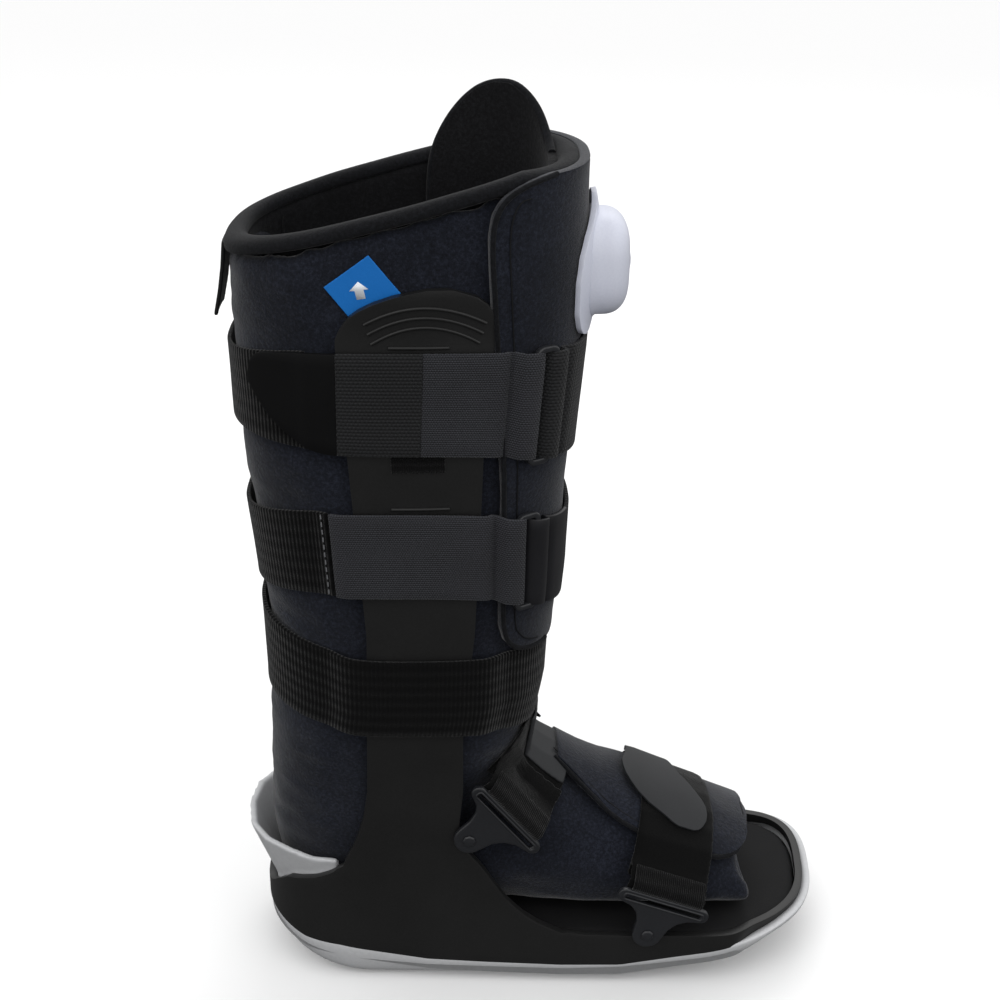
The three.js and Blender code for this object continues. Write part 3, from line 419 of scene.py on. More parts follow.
def bake(piece):
    # applies a piece's modifiers to its mesh
    graph = bpy.context.evaluated_depsgraph_get()
    fresh = bpy.data.meshes.new_from_object(piece.evaluated_get(graph))
    piece.modifiers.clear()
    piece.data = fresh
    fresh.shade_smooth()
    return piece


def walled(piece, thickness, offset=-1, edge=0, segments=3, even=False):
    # gives a skin its thickness and its edges a small bevel
    if thickness:
        solid = piece.modifiers.new("thickness", "SOLIDIFY")
        solid.thickness = thickness * mm
        solid.offset = offset
        solid.use_even_offset = even
    if edge:
        bevel = piece.modifiers.new("softEdge", "BEVEL")
        bevel.width = edge * mm
        bevel.segments = segments
        bevel.limit_method = "ANGLE"
        bevel.angle_limit = math.radians(50)
    return bake(piece)


def reworked(name, node, paint, voxel, rounds):
    # a finer, rounded form of a CAD node: merged copy, even mesh, smoothing
    bm = bmesh.new()
    bm.from_mesh(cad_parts[node].data)
    bmesh.ops.remove_doubles(bm, verts=bm.verts, dist=1e-6)
    piece = addPiece(name, meshFrom(bm, name), paint, node)
    grid = piece.modifiers.new("evenMesh", "REMESH")
    grid.mode = "VOXEL"
    grid.voxel_size = voxel * mm
    bake(piece)
    bm = bmesh.new()
    bm.from_mesh(piece.data)
    for _ in range(rounds):
        bmesh.ops.smooth_vert(
            bm, verts=bm.verts, factor=0.5, use_axis_x=True, use_axis_y=True, use_axis_z=True)
    bm.to_mesh(piece.data)
    bm.free()
    return piece


def displaced(piece, shape):
    # small moves of a piece's points along its surface's normals
    mesh = piece.data
    moves = [shape(v.co / mm, v.normal.copy()) for v in mesh.vertices]
    for vert, move in zip(mesh.vertices, moves):
        vert.co += move * mm
    mesh.update()


def panel(name, columns, rows, place, paint, thickness, node=None, closed=False, edge=0.5):
    # a grid bent into a thick band: place(s, t) gives its inner face in mm, and its map is in metres
    bm = bmesh.new()
    bmesh.ops.create_grid(bm, x_segments=columns, y_segments=rows, size=0.5)
    flat = {v: (v.co.x + 0.5, v.co.y + 0.5) for v in bm.verts}
    lengths = [0]
    for c in range(columns):
        step = (place((c + 1) / columns, 0.5) - place(c / columns, 0.5)).length
        lengths.append(lengths[-1] + step)
    width = (place(0.5, 1) - place(0.5, 0)).length
    layer = bm.loops.layers.uv.new("map")
    for face in bm.faces:
        for loop in face.loops:
            s, t = flat[loop.vert]
            loop[layer].uv = (lengths[round(s * columns)] * mm, t * width * mm)
    for vert, (s, t) in flat.items():
        vert.co = place(s, t) * mm
    if closed:
        bmesh.ops.remove_doubles(bm, verts=bm.verts, dist=1e-5)
    middle = min(bm.faces, key=lambda f: abs(sum(flat[v][0] for v in f.verts if v in flat) / 4 - 0.5))
    bm.normal_update()
    outward = middle.calc_center_median()
    if middle.normal.dot(Vector((outward.x, outward.y, 0))) < 0:
        bmesh.ops.reverse_faces(bm, faces=bm.faces)
    return walled(addPiece(name, meshFrom(bm, name), paint, node), thickness, 1, edge, 2)


def tube(name, points, radius, paint, closed=False):
    # a round cord through points in mm
    data = bpy.data.curves.new(name, "CURVE")
    data.dimensions = "3D"
    data.bevel_depth = radius * mm
    data.bevel_resolution = 3
    data.use_fill_caps = not closed
    spline = data.splines.new("POLY")
    spline.points.add(len(points) - 1)
    for point, target in zip(points, spline.points):
        target.co = (*(Vector(point) * mm), 1)
    spline.use_cyclic_u = closed
    helper = bpy.data.objects.new(name, data)
    scene.collection.objects.link(helper)
    graph = bpy.context.evaluated_depsgraph_get()
    graph.update()
    mesh = bpy.data.meshes.new_from_object(helper.evaluated_get(graph))
    bpy.data.objects.remove(helper)
    bpy.data.curves.remove(data)
    return addPiece(name, mesh, paint)


def cloud(point, scale, seed):
    # smooth noise from -1 to 1 at a point in mm
    return noise.noise(point / scale + Vector((seed * 7.3, seed * 3.1, seed * 5.7)))


# the sole's outline and the shell's skin, in mm, as the part has them

soleForm = {
    "heelBack": -86,
    "toeFront": 217,
    "heelWidth": 109,
    "toeWidth": 121,
    "heelArc": 59,
    "toeArc": 68,
    "toeSkew": 0.1,
    "heelSquareness": 2.4,
    "toeSquareness": 2.8,
    "footBed": 31.5,
    "floorTop": 27.2,
    "bumper": 4.5,
    "lap": 1,
    "splay": 1.5,
    "around": 260,  # columns round the outline
    "heelStart": -30,  # where the ground line starts to rise, and by how much
    "heelSlope": 0.05,
    "heelBevel": 11,
    "heelLength": 50,
    "toeStart": 76,
    "toeSlope": 0.085,
    "toeSpring": 11.5,
    "toeLength": 125,
    "tray": 4,
    "leastSole": 3.3,
}

# place along the sole as a share of its length, height as a share of the uprights' height
wallRim = (
    (0, 0.1), (0.026, 0.133), (0.046, 0.15), (0.073, 0.159), (0.096, 0.166), (0.116, 0.174), (0.134, 0.183),
    (0.145, 0.195), (0.386, 0.197), (0.408, 0.17), (0.432, 0.1415), (0.459, 0.12), (0.49, 0.1025),
    (0.526, 0.0885), (0.562, 0.084), (0.647, 0.083), (0.878, 0.086), (1, 0.0885),
)

# place along the sole, height as a share of the foot bed's height
soleLine = (
    (0, 0.97), (0.025, 0.91), (0.073, 0.77), (0.137, 0.745), (0.2, 0.635), (0.292, 0.49), (0.396, 0.44),
    (0.525, 0.4), (0.63, 0.42), (0.736, 0.62), (0.84, 0.8), (0.9, 0.88), (0.95, 0.95), (1, 0.97),
)

# an upright's back and front edges in mm at heights in mm
uprightEdge = (
    (33.0, -42.5, 76.0), (35.2, -42.5, 70.6), (38.0, -42.5, 65.0), (41.0, -42.5, 60.6),
    (46.6, -42.5, 53.0), (55.0, -42.5, 45.0), (66.5, -42.5, 37.5), (72.5, -42.6, 33.8),
    (76.0, -42.0, 31.5), (79.5, -40.6, 28.8), (84.6, -37.8, 24.4), (90.3, -35.3, 21.1),
    (97.0, -32.9, 19.6), (105.0, -30.6, 20.1), (120.8, -28.3, 21.8), (155.8, -27.5, 21.7),
    (213.1, -26.4, 27.4), (287.1, -31.6, 30.5), (307.0, -33.0, 31.1), (344.8, -35.9, 34.0),
    (362.0, -37.1, 35.9), (367.0, -37.0, 36.3), (372.1, -34.0, 36.0), (377.1, -30.0, 35.2),
    (381.0, -24.0, 33.8), (384.9, -15.0, 29.6), (388.4, -3.0, 22.2), (389.6, 5.2, 16.3),
)


def footprint(station, inset):
    # station 0 is the heel's middle, 0.5 the toe's middle on the near side's round, 1 the heel again
    s = soleForm
    half = station * 2 if station <= 0.5 else 2 - station * 2
    side = nearSide if station <= 0.5 else farSide
    heelX, toeX = s["heelBack"] + s["heelArc"], s["toeFront"] - s["toeArc"]
    if half < 0.25:
        angle = half / 0.25 * math.pi / 2
        power = 2 / s["heelSquareness"]
        x = heelX - (s["heelArc"] - inset) * math.cos(angle) ** power
        y = (s["heelWidth"] / 2 - inset) * math.sin(angle) ** power
    elif half <= 0.75:
        share = (half - 0.25) / 0.5
        x = mix(heelX, toeX, share)
        y = mix(s["heelWidth"], s["toeWidth"], share) / 2 - inset
    else:
        angle = (1 - half) / 0.25 * math.pi / 2
        power = 2 / (s["toeSquareness"] + 0.45 * side)
        x = toeX + (s["toeArc"] - inset) * max(0, math.cos(angle)) ** power
        y = (s["toeWidth"] / 2 - inset) * math.sin(angle) ** power
    return x, y * side


def outlinePoint(station, inset, height):
    outlineX = footprint(station, 0)[0]
    x, y = footprint(station, inset(outlineX) if callable(inset) else inset)
    x += soleForm["toeSkew"] * y * smooth(alongSole(x), 0.78, 0.95)
    return Vector((x, y, height(outlineX)))


def alongSole(x):
    return (x - soleForm["heelBack"]) / (soleForm["toeFront"] - soleForm["heelBack"])


def rimAt(x):
    return lookUp(wallRim, alongSole(x), 1) * bootForm["uprightHeight"]


def soleLineAt(x):
    return lookUp(soleLine, alongSole(x), 1) * soleForm["footBed"]


def bumperAt(x):
    return soleForm["bumper"] * smooth(alongSole(x), 0.82, 0.9)


def groundAt(x):
    s = soleForm
    heel, toe = max(0, s["heelStart"] - x), max(0, x - s["toeStart"])
    rise = 1 + s["heelSlope"] * heel + s["heelBevel"] * (heel / s["heelLength"]) ** 2
    rise += s["toeSlope"] * toe + s["toeSpring"] * (toe / s["toeLength"]) ** 4
    return min(rise, min(soleLineAt(x), s["floorTop"] - s["tray"]) - s["leastSole"])


def planWidth(x):
    s = soleForm
    heelX, toeX = s["heelBack"] + s["heelArc"], s["toeFront"] - s["toeArc"]
    if x < heelX:
        share = min(1, (heelX - x) / s["heelArc"])
        return s["heelWidth"] / 2 * (1 - share ** s["heelSquareness"]) ** (1 / s["heelSquareness"])
    return mix(s["heelWidth"], s["toeWidth"], min(1, (x - heelX) / (toeX - heelX))) / 2


def uprightInner(x, z):
    up = z / bootForm["uprightHeight"]
    low = planWidth(x) - bootForm["shellWall"]
    lift = bootForm["uprightGap"] + soleForm["splay"] * smooth(up, 0.935, 1)
    return mix(low, legHalf(x, z, lift), smooth(up, 0.25, 0.42))


def evenStations(count):
    # stations that stand at equal distances along the outline
    fine = 3000
    spots = [outlinePoint(i / fine, 0, lambda x: 0) for i in range(fine + 1)]
    walked = [0]
    for a, b in zip(spots, spots[1:]):
        walked.append(walked[-1] + (b - a).length)
    stations = []
    i = 0
    for k in range(count):
        target = walked[-1] * k / count
        while walked[i + 1] < target:
            i += 1
        stations.append((i + (target - walked[i]) / (walked[i + 1] - walked[i])) / fine)
    return stations


stations = evenStations(soleForm["around"])


def sheetMesh(name, rows, paint, node, closed, caps=(), thickness=0, offset=-1, edge=0):
    # a mesh through rows of points in mm; caps names the rows closed with strips from side to side
    bm = bmesh.new()
    grid = [[bm.verts.new(p * mm) for p in row] for row in rows]
    layer = bm.loops.layers.uv.new("map")
    wide = len(rows[0])
    for r in range(len(rows) - 1):
        for c in range(wide if closed else wide - 1):
            d = (c + 1) % wide
            bm.faces.new((grid[r][c], grid[r][d], grid[r + 1][d], grid[r + 1][c]))
    for row in caps:
        ring = grid[row]
        for c in range(1, wide // 2):
            a, b = ring[c], ring[-c]
            e, f = ring[(c + 1) % wide], ring[(wide - c - 1) % wide]
            corners = [v for k, v in enumerate((a, e, f, b)) if v not in (a, e, f, b)[:k]]
            if len(corners) > 2:
                bm.faces.new(corners)
        bm.faces.new((ring[0], ring[1], ring[-1]))
    bmesh.ops.remove_doubles(bm, verts=bm.verts, dist=1e-6)
    bmesh.ops.recalc_face_normals(bm, faces=bm.faces)
    for face in bm.faces:
        for loop in face.loops:
            loop[layer].uv = (loop.vert.co.x, loop.vert.co.z)
    return walled(addPiece(name, meshFrom(bm, name), paint, node), thickness, offset, edge, even=True)


# sole

soleProfile = (
    # inset, height over the ground line, share of the way up to the sole's upper edge
    (15, 0, 0), (11, 0.25, 0), (8, 1.0, 0), (5.5, 2.2, 0), (4, 3.6, 0), (2.6, 3.6, 0.2), (1.4, 3.6, 0.42),
    (0.5, 3.6, 0.66), (0.1, 3.6, 0.86), (0.2, 3.6, 0.95), (0.7, 3.6, 1),
)


def makeSole():
    rows = []
    for inset, lift, share in soleProfile:

        def height(x):
            low = min(groundAt(x) + lift, soleLineAt(x) - 2)
            return mix(low, soleLineAt(x) + soleForm["lap"], share)

        rows.append([outlinePoint(s, inset, height) for s in stations])
    for drop in (0, 8):
        rows.append([
            outlinePoint(
                s, lambda x: max(0.9, bumperAt(x) + 0.1),
                lambda x: max(soleLineAt(x) + soleForm["lap"] - drop, groundAt(x) + 1.5))
            for s in stations])
    sheetMesh("soleBody", rows, "paleRubber", "outsole", True, caps=(0, len(rows) - 1))


treadSettings = {"bars": 13, "back": -24, "front": 70, "length": 6.2, "width": 70, "height": 1.6, "edge": 0.5}


def makeTreadPad():
    # the flat part that touches the floor, as bars with shallow grooves between them
    s = treadSettings
    size = Vector((s["length"], s["width"], s["height"])) * mm
    bm = bmesh.new()
    for k in range(s["bars"]):
        x = mix(s["back"], s["front"], k / (s["bars"] - 1))
        made = bmesh.ops.create_cube(bm, size=1)
        bmesh.ops.scale(bm, vec=size, verts=made["verts"])
        bmesh.ops.translate(bm, vec=(x * mm, 0, size.z / 2), verts=made["verts"])
    bmesh.ops.bevel(
        bm, geom=bm.edges, offset=s["edge"] * mm, segments=2, profile=0.5, affect="EDGES", material=-1)
    addPiece("treadBars", meshFrom(bm, "treadBars"), "paleRubber")


makeSole()
makeTreadPad()
print("sole ready")


# shell: one skin from the sole line up to the rim and up both uprights

shellSettings = {
    "rowsBelow": 9,
    "rowsUp": 84,
    "edge": 0.8,
    "backX": -42.5,  # the uprights' foot, back and front, and the heights where it leaves the rim
    "frontX": 76.0,
    "backSplit": 76.0,
    "frontSplit": 33.0,
    "floor": (22.4, 27.1),
}


def uprightX(z, share):
    return mix(lookUp(uprightEdge, z, 1), lookUp(uprightEdge, z, 2), share)


def shellSkin():
    s = shellSettings
    wall = bootForm["shellWall"]
    bm = bmesh.new()
    columns = []
    uprights = {nearSide: [], farSide: []}

    def skinPoint(x, z, side):
        return Vector((x, side * (uprightInner(x, z) + wall), z))

    for station in stations:
        base = outlinePoint(station, bumperAt, soleLineAt)
        side = nearSide if base.y < 0 else farSide
        inside = s["backX"] <= base.x <= s["frontX"]
        column = []
        if inside:
            share = (base.x - s["backX"]) / (s["frontX"] - s["backX"])
            split = mix(s["backSplit"], s["frontSplit"], share ** 0.8)
            splitX = uprightX(split, share)
        for r in range(s["rowsBelow"]):
            t = r / (s["rowsBelow"] - 1)
            if inside:
                z = mix(base.z, split, t)
                x = mix(base.x, splitX, t * t)
                column.append(bm.verts.new(skinPoint(x, z, side) * mm))
            else:
                top = max(rimAt(base.x), base.z + 1)
                column.append(bm.verts.new(Vector((base.x, base.y, mix(base.z, top, t))) * mm))
        columns.append(column)
        if inside:
            tall = [column[-1]]
            for r in range(1, s["rowsUp"] + 1):
                z = mix(split, bootForm["uprightHeight"], (r / s["rowsUp"]) ** 0.9)
                tall.append(bm.verts.new(skinPoint(uprightX(z, share), z, side) * mm))
            uprights[side].append(tall)
    for a, b in zip(columns, columns[1:] + columns[:1]):
        for r in range(s["rowsBelow"] - 1):
            bm.faces.new((a[r], b[r], b[r + 1], a[r + 1]))
    for side, group in uprights.items():
        for a, b in zip(group, group[1:]):
            for r in range(s["rowsUp"]):
                bm.faces.new((a[r], b[r], b[r + 1], a[r + 1]))
    bmesh.ops.recalc_face_normals(bm, faces=bm.faces)
    low = max(bm.faces, key=lambda f: abs(f.calc_center_median().y))
    if low.normal.y * low.calc_center_median().y < 0:
        bmesh.ops.reverse_faces(bm, faces=bm.faces)
    piece = addPiece("shellSkin", meshFrom(bm, "shellSkin"), "moulding", "shell")
    walled(piece, wall, edge=s["edge"])


def shellFloor():
    # the tray's floor under the foot bed

    def inset(x):
        return bumperAt(x) + bootForm["shellWall"] - 0.2

    rows = [[outlinePoint(s, inset, lambda x: z) for s in stations] for z in shellSettings["floor"]]
    sheetMesh("shellFloor", rows, "moulding", None, True, caps=(0, 1))


def ridge(name, side, columns, place, radius):
    # a raised half round line that follows the upright's face; place(s) gives x and z
    points = []
    for k in range(columns):
        x, z = place(k / (columns - 1))
        points.append((x, side * (uprightInner(x, z) + bootForm["shellWall"] + 0.15), z))
    return tube(name, points, radius, "moulding")


def shellRidges():
    for side, title in ((nearSide, "Near"), (farSide, "Far")):
        for number in range(3):

            def arc(s, number=number):
                t = 2 * s - 1
                return 4 + t * (27 - 1.5 * number), 381.5 - 4.6 * number - 8 * t * t

            ridge(f"arc{title}{number}", side, 25, arc, 0.85)
        for name, z in (("upperLip", 362.6), ("middleLip", 282.6)):
            ridge(name + title, side, 19, lambda s, z=z: (mix(-12.5, 14.5, s), z), 0.9)


shellSkin()
shellFloor()
shellRidges()
reworked("heelCup", "heel_collar", "paleRubber", 1.0, 6)
reworked("footBed", "insole", "footBed", 1.6, 5)
print("sole and shell ready")


# straps' heights and ramps, as the part has them

topStrap = {
    "top": 360.5, "bottom": 310.5, "frontTop": 354,
    "frontBottom": 298, "backTop": 351, "backBottom": 314,
}
midStrap = {
    "top": 280.5, "bottom": 236, "frontTop": 265,
    "frontBottom": 217, "backTop": 270, "backBottom": 229,
}
lowStrap = {
    "top": 200.5, "bottom": 157.5, "frontTop": 194,
    "frontBottom": 146, "backTop": 214, "backBottom": 168,
}


def strapHeight(strap, turn, share):
    front = max(0, math.cos(turn)) ** 2
    back = max(0, -math.cos(turn)) ** 2
    top = strap["top"] + (strap["frontTop"] - strap["top"]) * front + (strap["backTop"] - strap["top"]) * back
    bottom = strap["bottom"] + (strap["frontBottom"] - strap["bottom"]) * front
    bottom += (strap["backBottom"] - strap["bottom"]) * back
    return mix(bottom, top, share)


def fromStraps(turn, z, straps):
    # distance in mm up or down to the nearest strap, less than 0 under it
    gaps = [max(strapHeight(s, turn, 0) - z, z - strapHeight(s, turn, 1)) for s in straps]
    return min(99, *gaps)


def strapLift(turn, z):
    # distance out to a strap's inner face: over the liner, the upright or the front flap
    f = bootForm
    x = legPoint(turn, z, 0).x
    half = f["uprightWidth"] / 2
    back, front = lookUp(uprightEdge, z, 1) - 2.5, lookUp(uprightEdge, z, 2) + 2.5
    onUpright = smooth(x, back - 17, back)
    overShell = f["uprightGap"] + f["shellWall"] + f["strapGap"]
    if z < 202:
        return mix(f["strapGap"], overShell, onUpright * (1 - smooth(x, front, front + 17)))
    overFlap = f["flapThickness"] + f["gap"] + f["strapGap"]
    return mix(mix(f["strapGap"], overShell, onUpright), overFlap, smooth(x, half - 5, half - 1))


# padded liner

linerSettings = {"voxel": 4.4, "rounds": 5, "lump": 0.8, "crease": 0.55, "swell": 1.5, "press": 0.5}


def underUpright(point):
    # 1 where an upright covers the liner, 0 where it is free
    return smooth(abs(point.y), 38, 48) * smooth(-abs(point.x - 1), -56, -42)


def fromLegStraps(point):
    return fromStraps(math.atan2(point.y, point.x + 7), point.z, (topStrap, midStrap, lowStrap))


def linerShape(point, normal):
    # soft lumps, creases at the ankle, and padding that swells between the straps
    s = linerSettings
    low = s["lump"] * cloud(point, 34, 1) - 0.4
    fine = s["crease"] * cloud(Vector((point.x, point.y, point.z * 2.2)), 16, 2)
    ankle = smooth(-abs(point.z - 128), -60, -10) * 0.8
    folds = ankle * cloud(Vector((point.x * 0.7, point.y * 0.7, point.z * 2.6)), 20, 5)
    swell = 0
    if normal.x * point.x + normal.y * point.y > 0:
        nearest = fromLegStraps(point)
        swell = s["swell"] * smooth(nearest, 0, 16) - s["press"] * smooth(-nearest, -3, 6)
        swell *= smooth(-point.z, -415, -385) * smooth(point.z, 100, 150)
    return normal * (low + fine + folds + swell) * (1 - underUpright(point)) * 0.9


# out from the leg's face, up from the rim, both in mm
bindingSection = (
    (0.2, -5.2), (0.9, -4.9), (1.2, -3.8), (1.2, -2.2), (0.7, -0.7), (-0.7, 0.5), (-2.6, 1.1), (-4.2, 1.2),
    (-5.8, 1.1), (-7.6, 0.5), (-9.0, -0.7), (-9.6, -2.2), (-9.6, -3.8), (-9.3, -4.9), (-8.6, -5.2),
    (-6, -6), (-2, -6), (0.2, -5.2),
)


def rimRing():
    # the bound edge wraps over the wall's top, outside and inside
    count = 200
    rows = []
    for out, drop in bindingSection:
        row = []
        for k in range(count):
            turn = 2 * math.pi * k / count
            x = legPoint(turn, bootForm["rimHeight"], out).x
            rim = rimPlane(x) + 0.35 * cloud(Vector((x, turn * 40, 0)), 30, 8)
            row.append(legPoint(turn, rim + drop, out))
        rows.append(row)
    return sheetMesh("rimBinding", rows, "binding", "liner_trim", True)


liningSettings = {"around": 150, "rows": 60, "bottom": 118, "inset": 8.7, "thickness": 0.7, "cut": (330, 300)}


def liningWall():
    # the soft inner face of the leg, down to the ankle
    s = liningSettings
    rows = []
    for r in range(s["rows"]):
        row = []
        for k in range(s["around"]):
            turn = 2 * math.pi * k / s["around"]
            x = legPoint(turn, bootForm["rimHeight"], -8.8).x
            z = mix(s["bottom"], rimPlane(x) - 5, r / (s["rows"] - 1))
            wave = 0.35 * cloud(Vector((x, turn * 50, z)), 26, 4)
            row.append(legPoint(turn, z, wave - s["inset"]))
        rows.append(row)
    return sheetMesh("liningWall", rows, "lining", None, True, thickness=s["thickness"], offset=1)


def legLine(name, spots, out, radius, paint):
    # a cord along the leg through turn and height
    return tube(name, [legPoint(turn, z, out) for turn, z in spots], radius, paint)


def rounded(spots):
    # cuts the corners of a path twice, its ends staying where they are
    for _ in range(2):
        fresh = [spots[0]]
        for a, b in zip(spots, spots[1:]):
            fresh.append(tuple(mix(p, q, 0.25) for p, q in zip(a, b)))
            fresh.append(tuple(mix(p, q, 0.75) for p, q in zip(a, b)))
        fresh.append(spots[-1])
        spots = fresh
    return spots


# an edge of the front flap on the near side: height, then x of the edge
flapEdge = (
    (197, 58), (198, 50), (200.5, 44), (205, 40), (214, 37.6), (235, 37.3), (285, 38), (345, 34.6),
    (395, 31.6), (412, 31.2), (421, 32.6), (427, 35.8), (431.5, 41), (435, 49), (437, 58),
)

# turn in degrees, height over the rim in mm
lobeRim = (
    (-64, -37), (-40, -14), (-15, -6), (4, -2), (12, 1), (18, 6), (26, 13), (36, 19.5), (46, 24), (56, 26.2),
    (64, 25.6), (70, 22.5), (75, 17.5), (79, 11), (82, 3), (83.5, -6), (84, -20),
)

# place along the foot in mm, near edge of the instep flap in degrees
instepEdge = (
    (70, -16), (84, -28), (98, -42), (106, -48), (114, -52), (126, -55), (136, -57), (150, -58), (158, -56),
    (164, -52), (169, -45), (173, -34), (175.5, -20), (176.5, 0),
)

# share of the foot's length, share of the instep's height, half width as a share
footSections = (
    (-0.14, 0.8, 0.42), (0.08, 0.9, 0.46), (0.28, 0.94, 0.49), (0.35, 0.86, 0.5), (0.46, 0.765, 0.5),
    (0.53, 0.72, 0.5), (0.65, 0.665, 0.495), (0.73, 0.615, 0.485), (0.87, 0.53, 0.465), (1, 0.45, 0.43),
)


footForm = {"length": 181, "instep": 136, "width": 93, "bottom": 31.8}


def footPoint(turn, x, out):
    f = footForm
    top = lookUp(footSections, x / f["length"], 1) * f["instep"] + out
    half = lookUp(footSections, x / f["length"], 2) * f["width"] + out
    bottom = f["bottom"] - out
    power = 2 / (2.1 if math.cos(turn) > 0 else 2.6)
    rise = signedPower(math.cos(turn), power)
    y = half * signedPower(math.sin(turn), power) * (1 - 0.16 * rise)
    return Vector((x, y, (top + bottom) / 2 + (top - bottom) / 2 * rise))


paddingSettings = {
    "quality": 4,
    "mass": 0.3,
    "tension_stiffness": 15,
    "compression_stiffness": 15,
    "shear_stiffness": 8,
    "bending_stiffness": 3,
    "use_pressure": True,
    "uniform_pressure_force": 4,
}


def puffed(piece, frames, cap, mask):
    # swells a padded piece with a short cloth run, its movement capped, then keeps the result
    mesh = piece.data
    cloth = piece.modifiers.new("padding", "CLOTH")
    for key, value in paddingSettings.items():
        setattr(cloth.settings, key, value)
    cloth.settings.effector_weights.gravity = 0
    cloth.collision_settings.use_collision = False
    cloth.point_cache.frame_start = 1
    cloth.point_cache.frame_end = frames
    for step in range(1, frames + 1):
        scene.frame_set(step)
    graph = bpy.context.evaluated_depsgraph_get()
    moved = [v.co.copy() for v in piece.evaluated_get(graph).data.vertices]
    piece.modifiers.remove(cloth)
    scene.frame_set(1)
    biggest = 0
    for vert, target in zip(mesh.vertices, moved):
        step = target - vert.co
        biggest = max(biggest, step.length / mm)
        if step.length > cap * mm:
            step *= cap * mm / step.length
        vert.co += step * mask(vert.co / mm)
    mesh.update()
    print(f"  {piece.name}: cloth moved it up to {biggest:.2f} mm, kept up to {cap} mm")


def linerMask(point):
    # how much of the cloth's swelling stays: none under straps and uprights, or at the rim and sole
    ends = smooth(-point.z, -418, -400) * smooth(point.z, 40, 60)
    return (1 - underUpright(point)) * smooth(fromLegStraps(point), -2, 8) * ends


flapSettings = {
    "front": {"bottom": 197, "top": 437, "farX": 41, "thickness": 4.7, "edge": 1.7},
    "lobe": {"start": -64, "stop": 84, "bottom": 314, "inset": 13.9, "thickness": 4.6, "edge": 1.4},
    "instep": {"back": 70, "front": 176.5, "stop": 100, "thickness": 4.7, "edge": 1.7},
}


def frontFlap():
    f = flapSettings["front"]

    def place(s, t):
        z = mix(f["bottom"], f["top"], t)
        start = turnAt(lookUp(flapEdge, z, 1), z, 0, nearSide)
        stop = turnAt(f["farX"], z, 0, farSide)
        turn = mix(start, stop, s)
        press = 0.09 * smooth(-fromStraps(turn, z, (topStrap, midStrap)), -6, 4)
        return legPoint(turn, z, 0.5 + 0.35 * cloud(Vector((turn * 50, z, 0)), 26, 3) - press)

    return panel(
        "frontFlap", 64, 110, place, "fleece", f["thickness"], "outer_flap", False, f["edge"])


def lobeTop(turn):
    return rimPlane(legPoint(turn, bootForm["rimHeight"], -9).x) + lookUp(lobeRim, math.degrees(turn), 1)


def lobeFlap():
    f = flapSettings["lobe"]

    def place(s, t):
        turn = math.radians(mix(f["start"], f["stop"], s))
        z = mix(f["bottom"], lobeTop(turn), t)
        return legPoint(turn, z, 0.4 * cloud(Vector((turn * 45, z, 0)), 24, 12) - f["inset"])

    return panel(
        "lobeFlap", 90, 46, place, "lining", f["thickness"], "inner_flap", False, f["edge"])


def instepFlap():
    f = flapSettings["instep"]

    def place(s, t):
        x = mix(f["back"], f["front"], s)
        turn = math.radians(mix(lookUp(instepEdge, x, 1), f["stop"], t))
        return footPoint(turn, x, 0.3 + 0.5 * cloud(Vector((x, turn * 40, 0)), 18, 7))

    return panel(
        "instepFlap", 60, 60, place, "fleece", f["thickness"], "foot_flap", False, f["edge"])


linerPiece = reworked(
    "linerBody", "liner", "fleece", linerSettings["voxel"], linerSettings["rounds"])
puffed(linerPiece, 20, 1.2, linerMask)
finer = linerPiece.modifiers.new("finer", "SUBSURF")
finer.levels = 1
finer.render_levels = 1
bake(linerPiece)
displaced(linerPiece, linerShape)
bindingPiece = rimRing()
liningPiece = liningWall()
lobePiece = lobeFlap()
flapPiece = frontFlap()
instepPiece = instepFlap()

flapSpots = [(turnAt(x, z, 0, nearSide), z) for z, x in flapEdge]
legLine("flapEdge", rounded(flapSpots), 4.7, 1.25, "binding")
inner = [(turn + 0.1, min(428, z + (3.5 if z < 210 else 0))) for turn, z in flapSpots[1:-2]]
legLine("flapStitch", rounded(inner), 5.3, 0.35, "thread")
lobeSpots = [(math.radians(d), lobeTop(math.radians(d)) - 0.4) for d, up in lobeRim[3:]]
lobeSpots += [(math.radians(84), z) for z in (380, 350)]
legLine("lobeEdge", rounded(lobeSpots), -11.6, 2.1, "binding")
instepSpots = [footPoint(math.radians(d), x, 4.3) for x, d in instepEdge]
instepSpots += [footPoint(math.radians(d), instepEdge[-1][0], 4.3) for d in (15, 30, 45, 60, 75, 90)]
tube("instepEdge", instepSpots, 1.2, "binding")
stitch = [footPoint(math.radians(d + 7), x, 5.15) for x, d in instepEdge[:9]]
tube("instepStitch", stitch, 0.35, "thread")
seamTurn = turnAt(-67.5, 395, -9, farSide)
legLine("liningSeam", [(seamTurn, z) for z in range(300, 402, 6)], -9.8, 0.45, "lining")
print("liner and flaps ready")


# pump, tag and pull tab

flangeSettings = {
    "bottom": 356,
    "height": 63,
    "middle": -2,
    "lift": 5.6,
    "thickness": 2.6,
    "rows": 33,
    "columns": 40,
    "raise": 2.2,  # how far the middle stands proud, over a half width and half height
    "raiseWidth": 27,
    "raiseHeight": 31,
    "raiseMiddle": 387,
}

# height up the flange as a share, half of its width in mm
flangeWidth = (
    (0, 20), (0.03, 26), (0.08, 29.5), (0.2, 32.5), (0.45, 33.5), (0.62, 31.5), (0.76, 26.5), (0.87, 19.5),
    (0.95, 12), (1, 5),
)

domeSettings = {
    "width": 47,
    "height": 49,
    "depth": 18.5,
    "middle": 386.5,
    "across": -4.5,
    "sides": 72,
    "square": 0.7,  # 1 is round, less is squarer
}


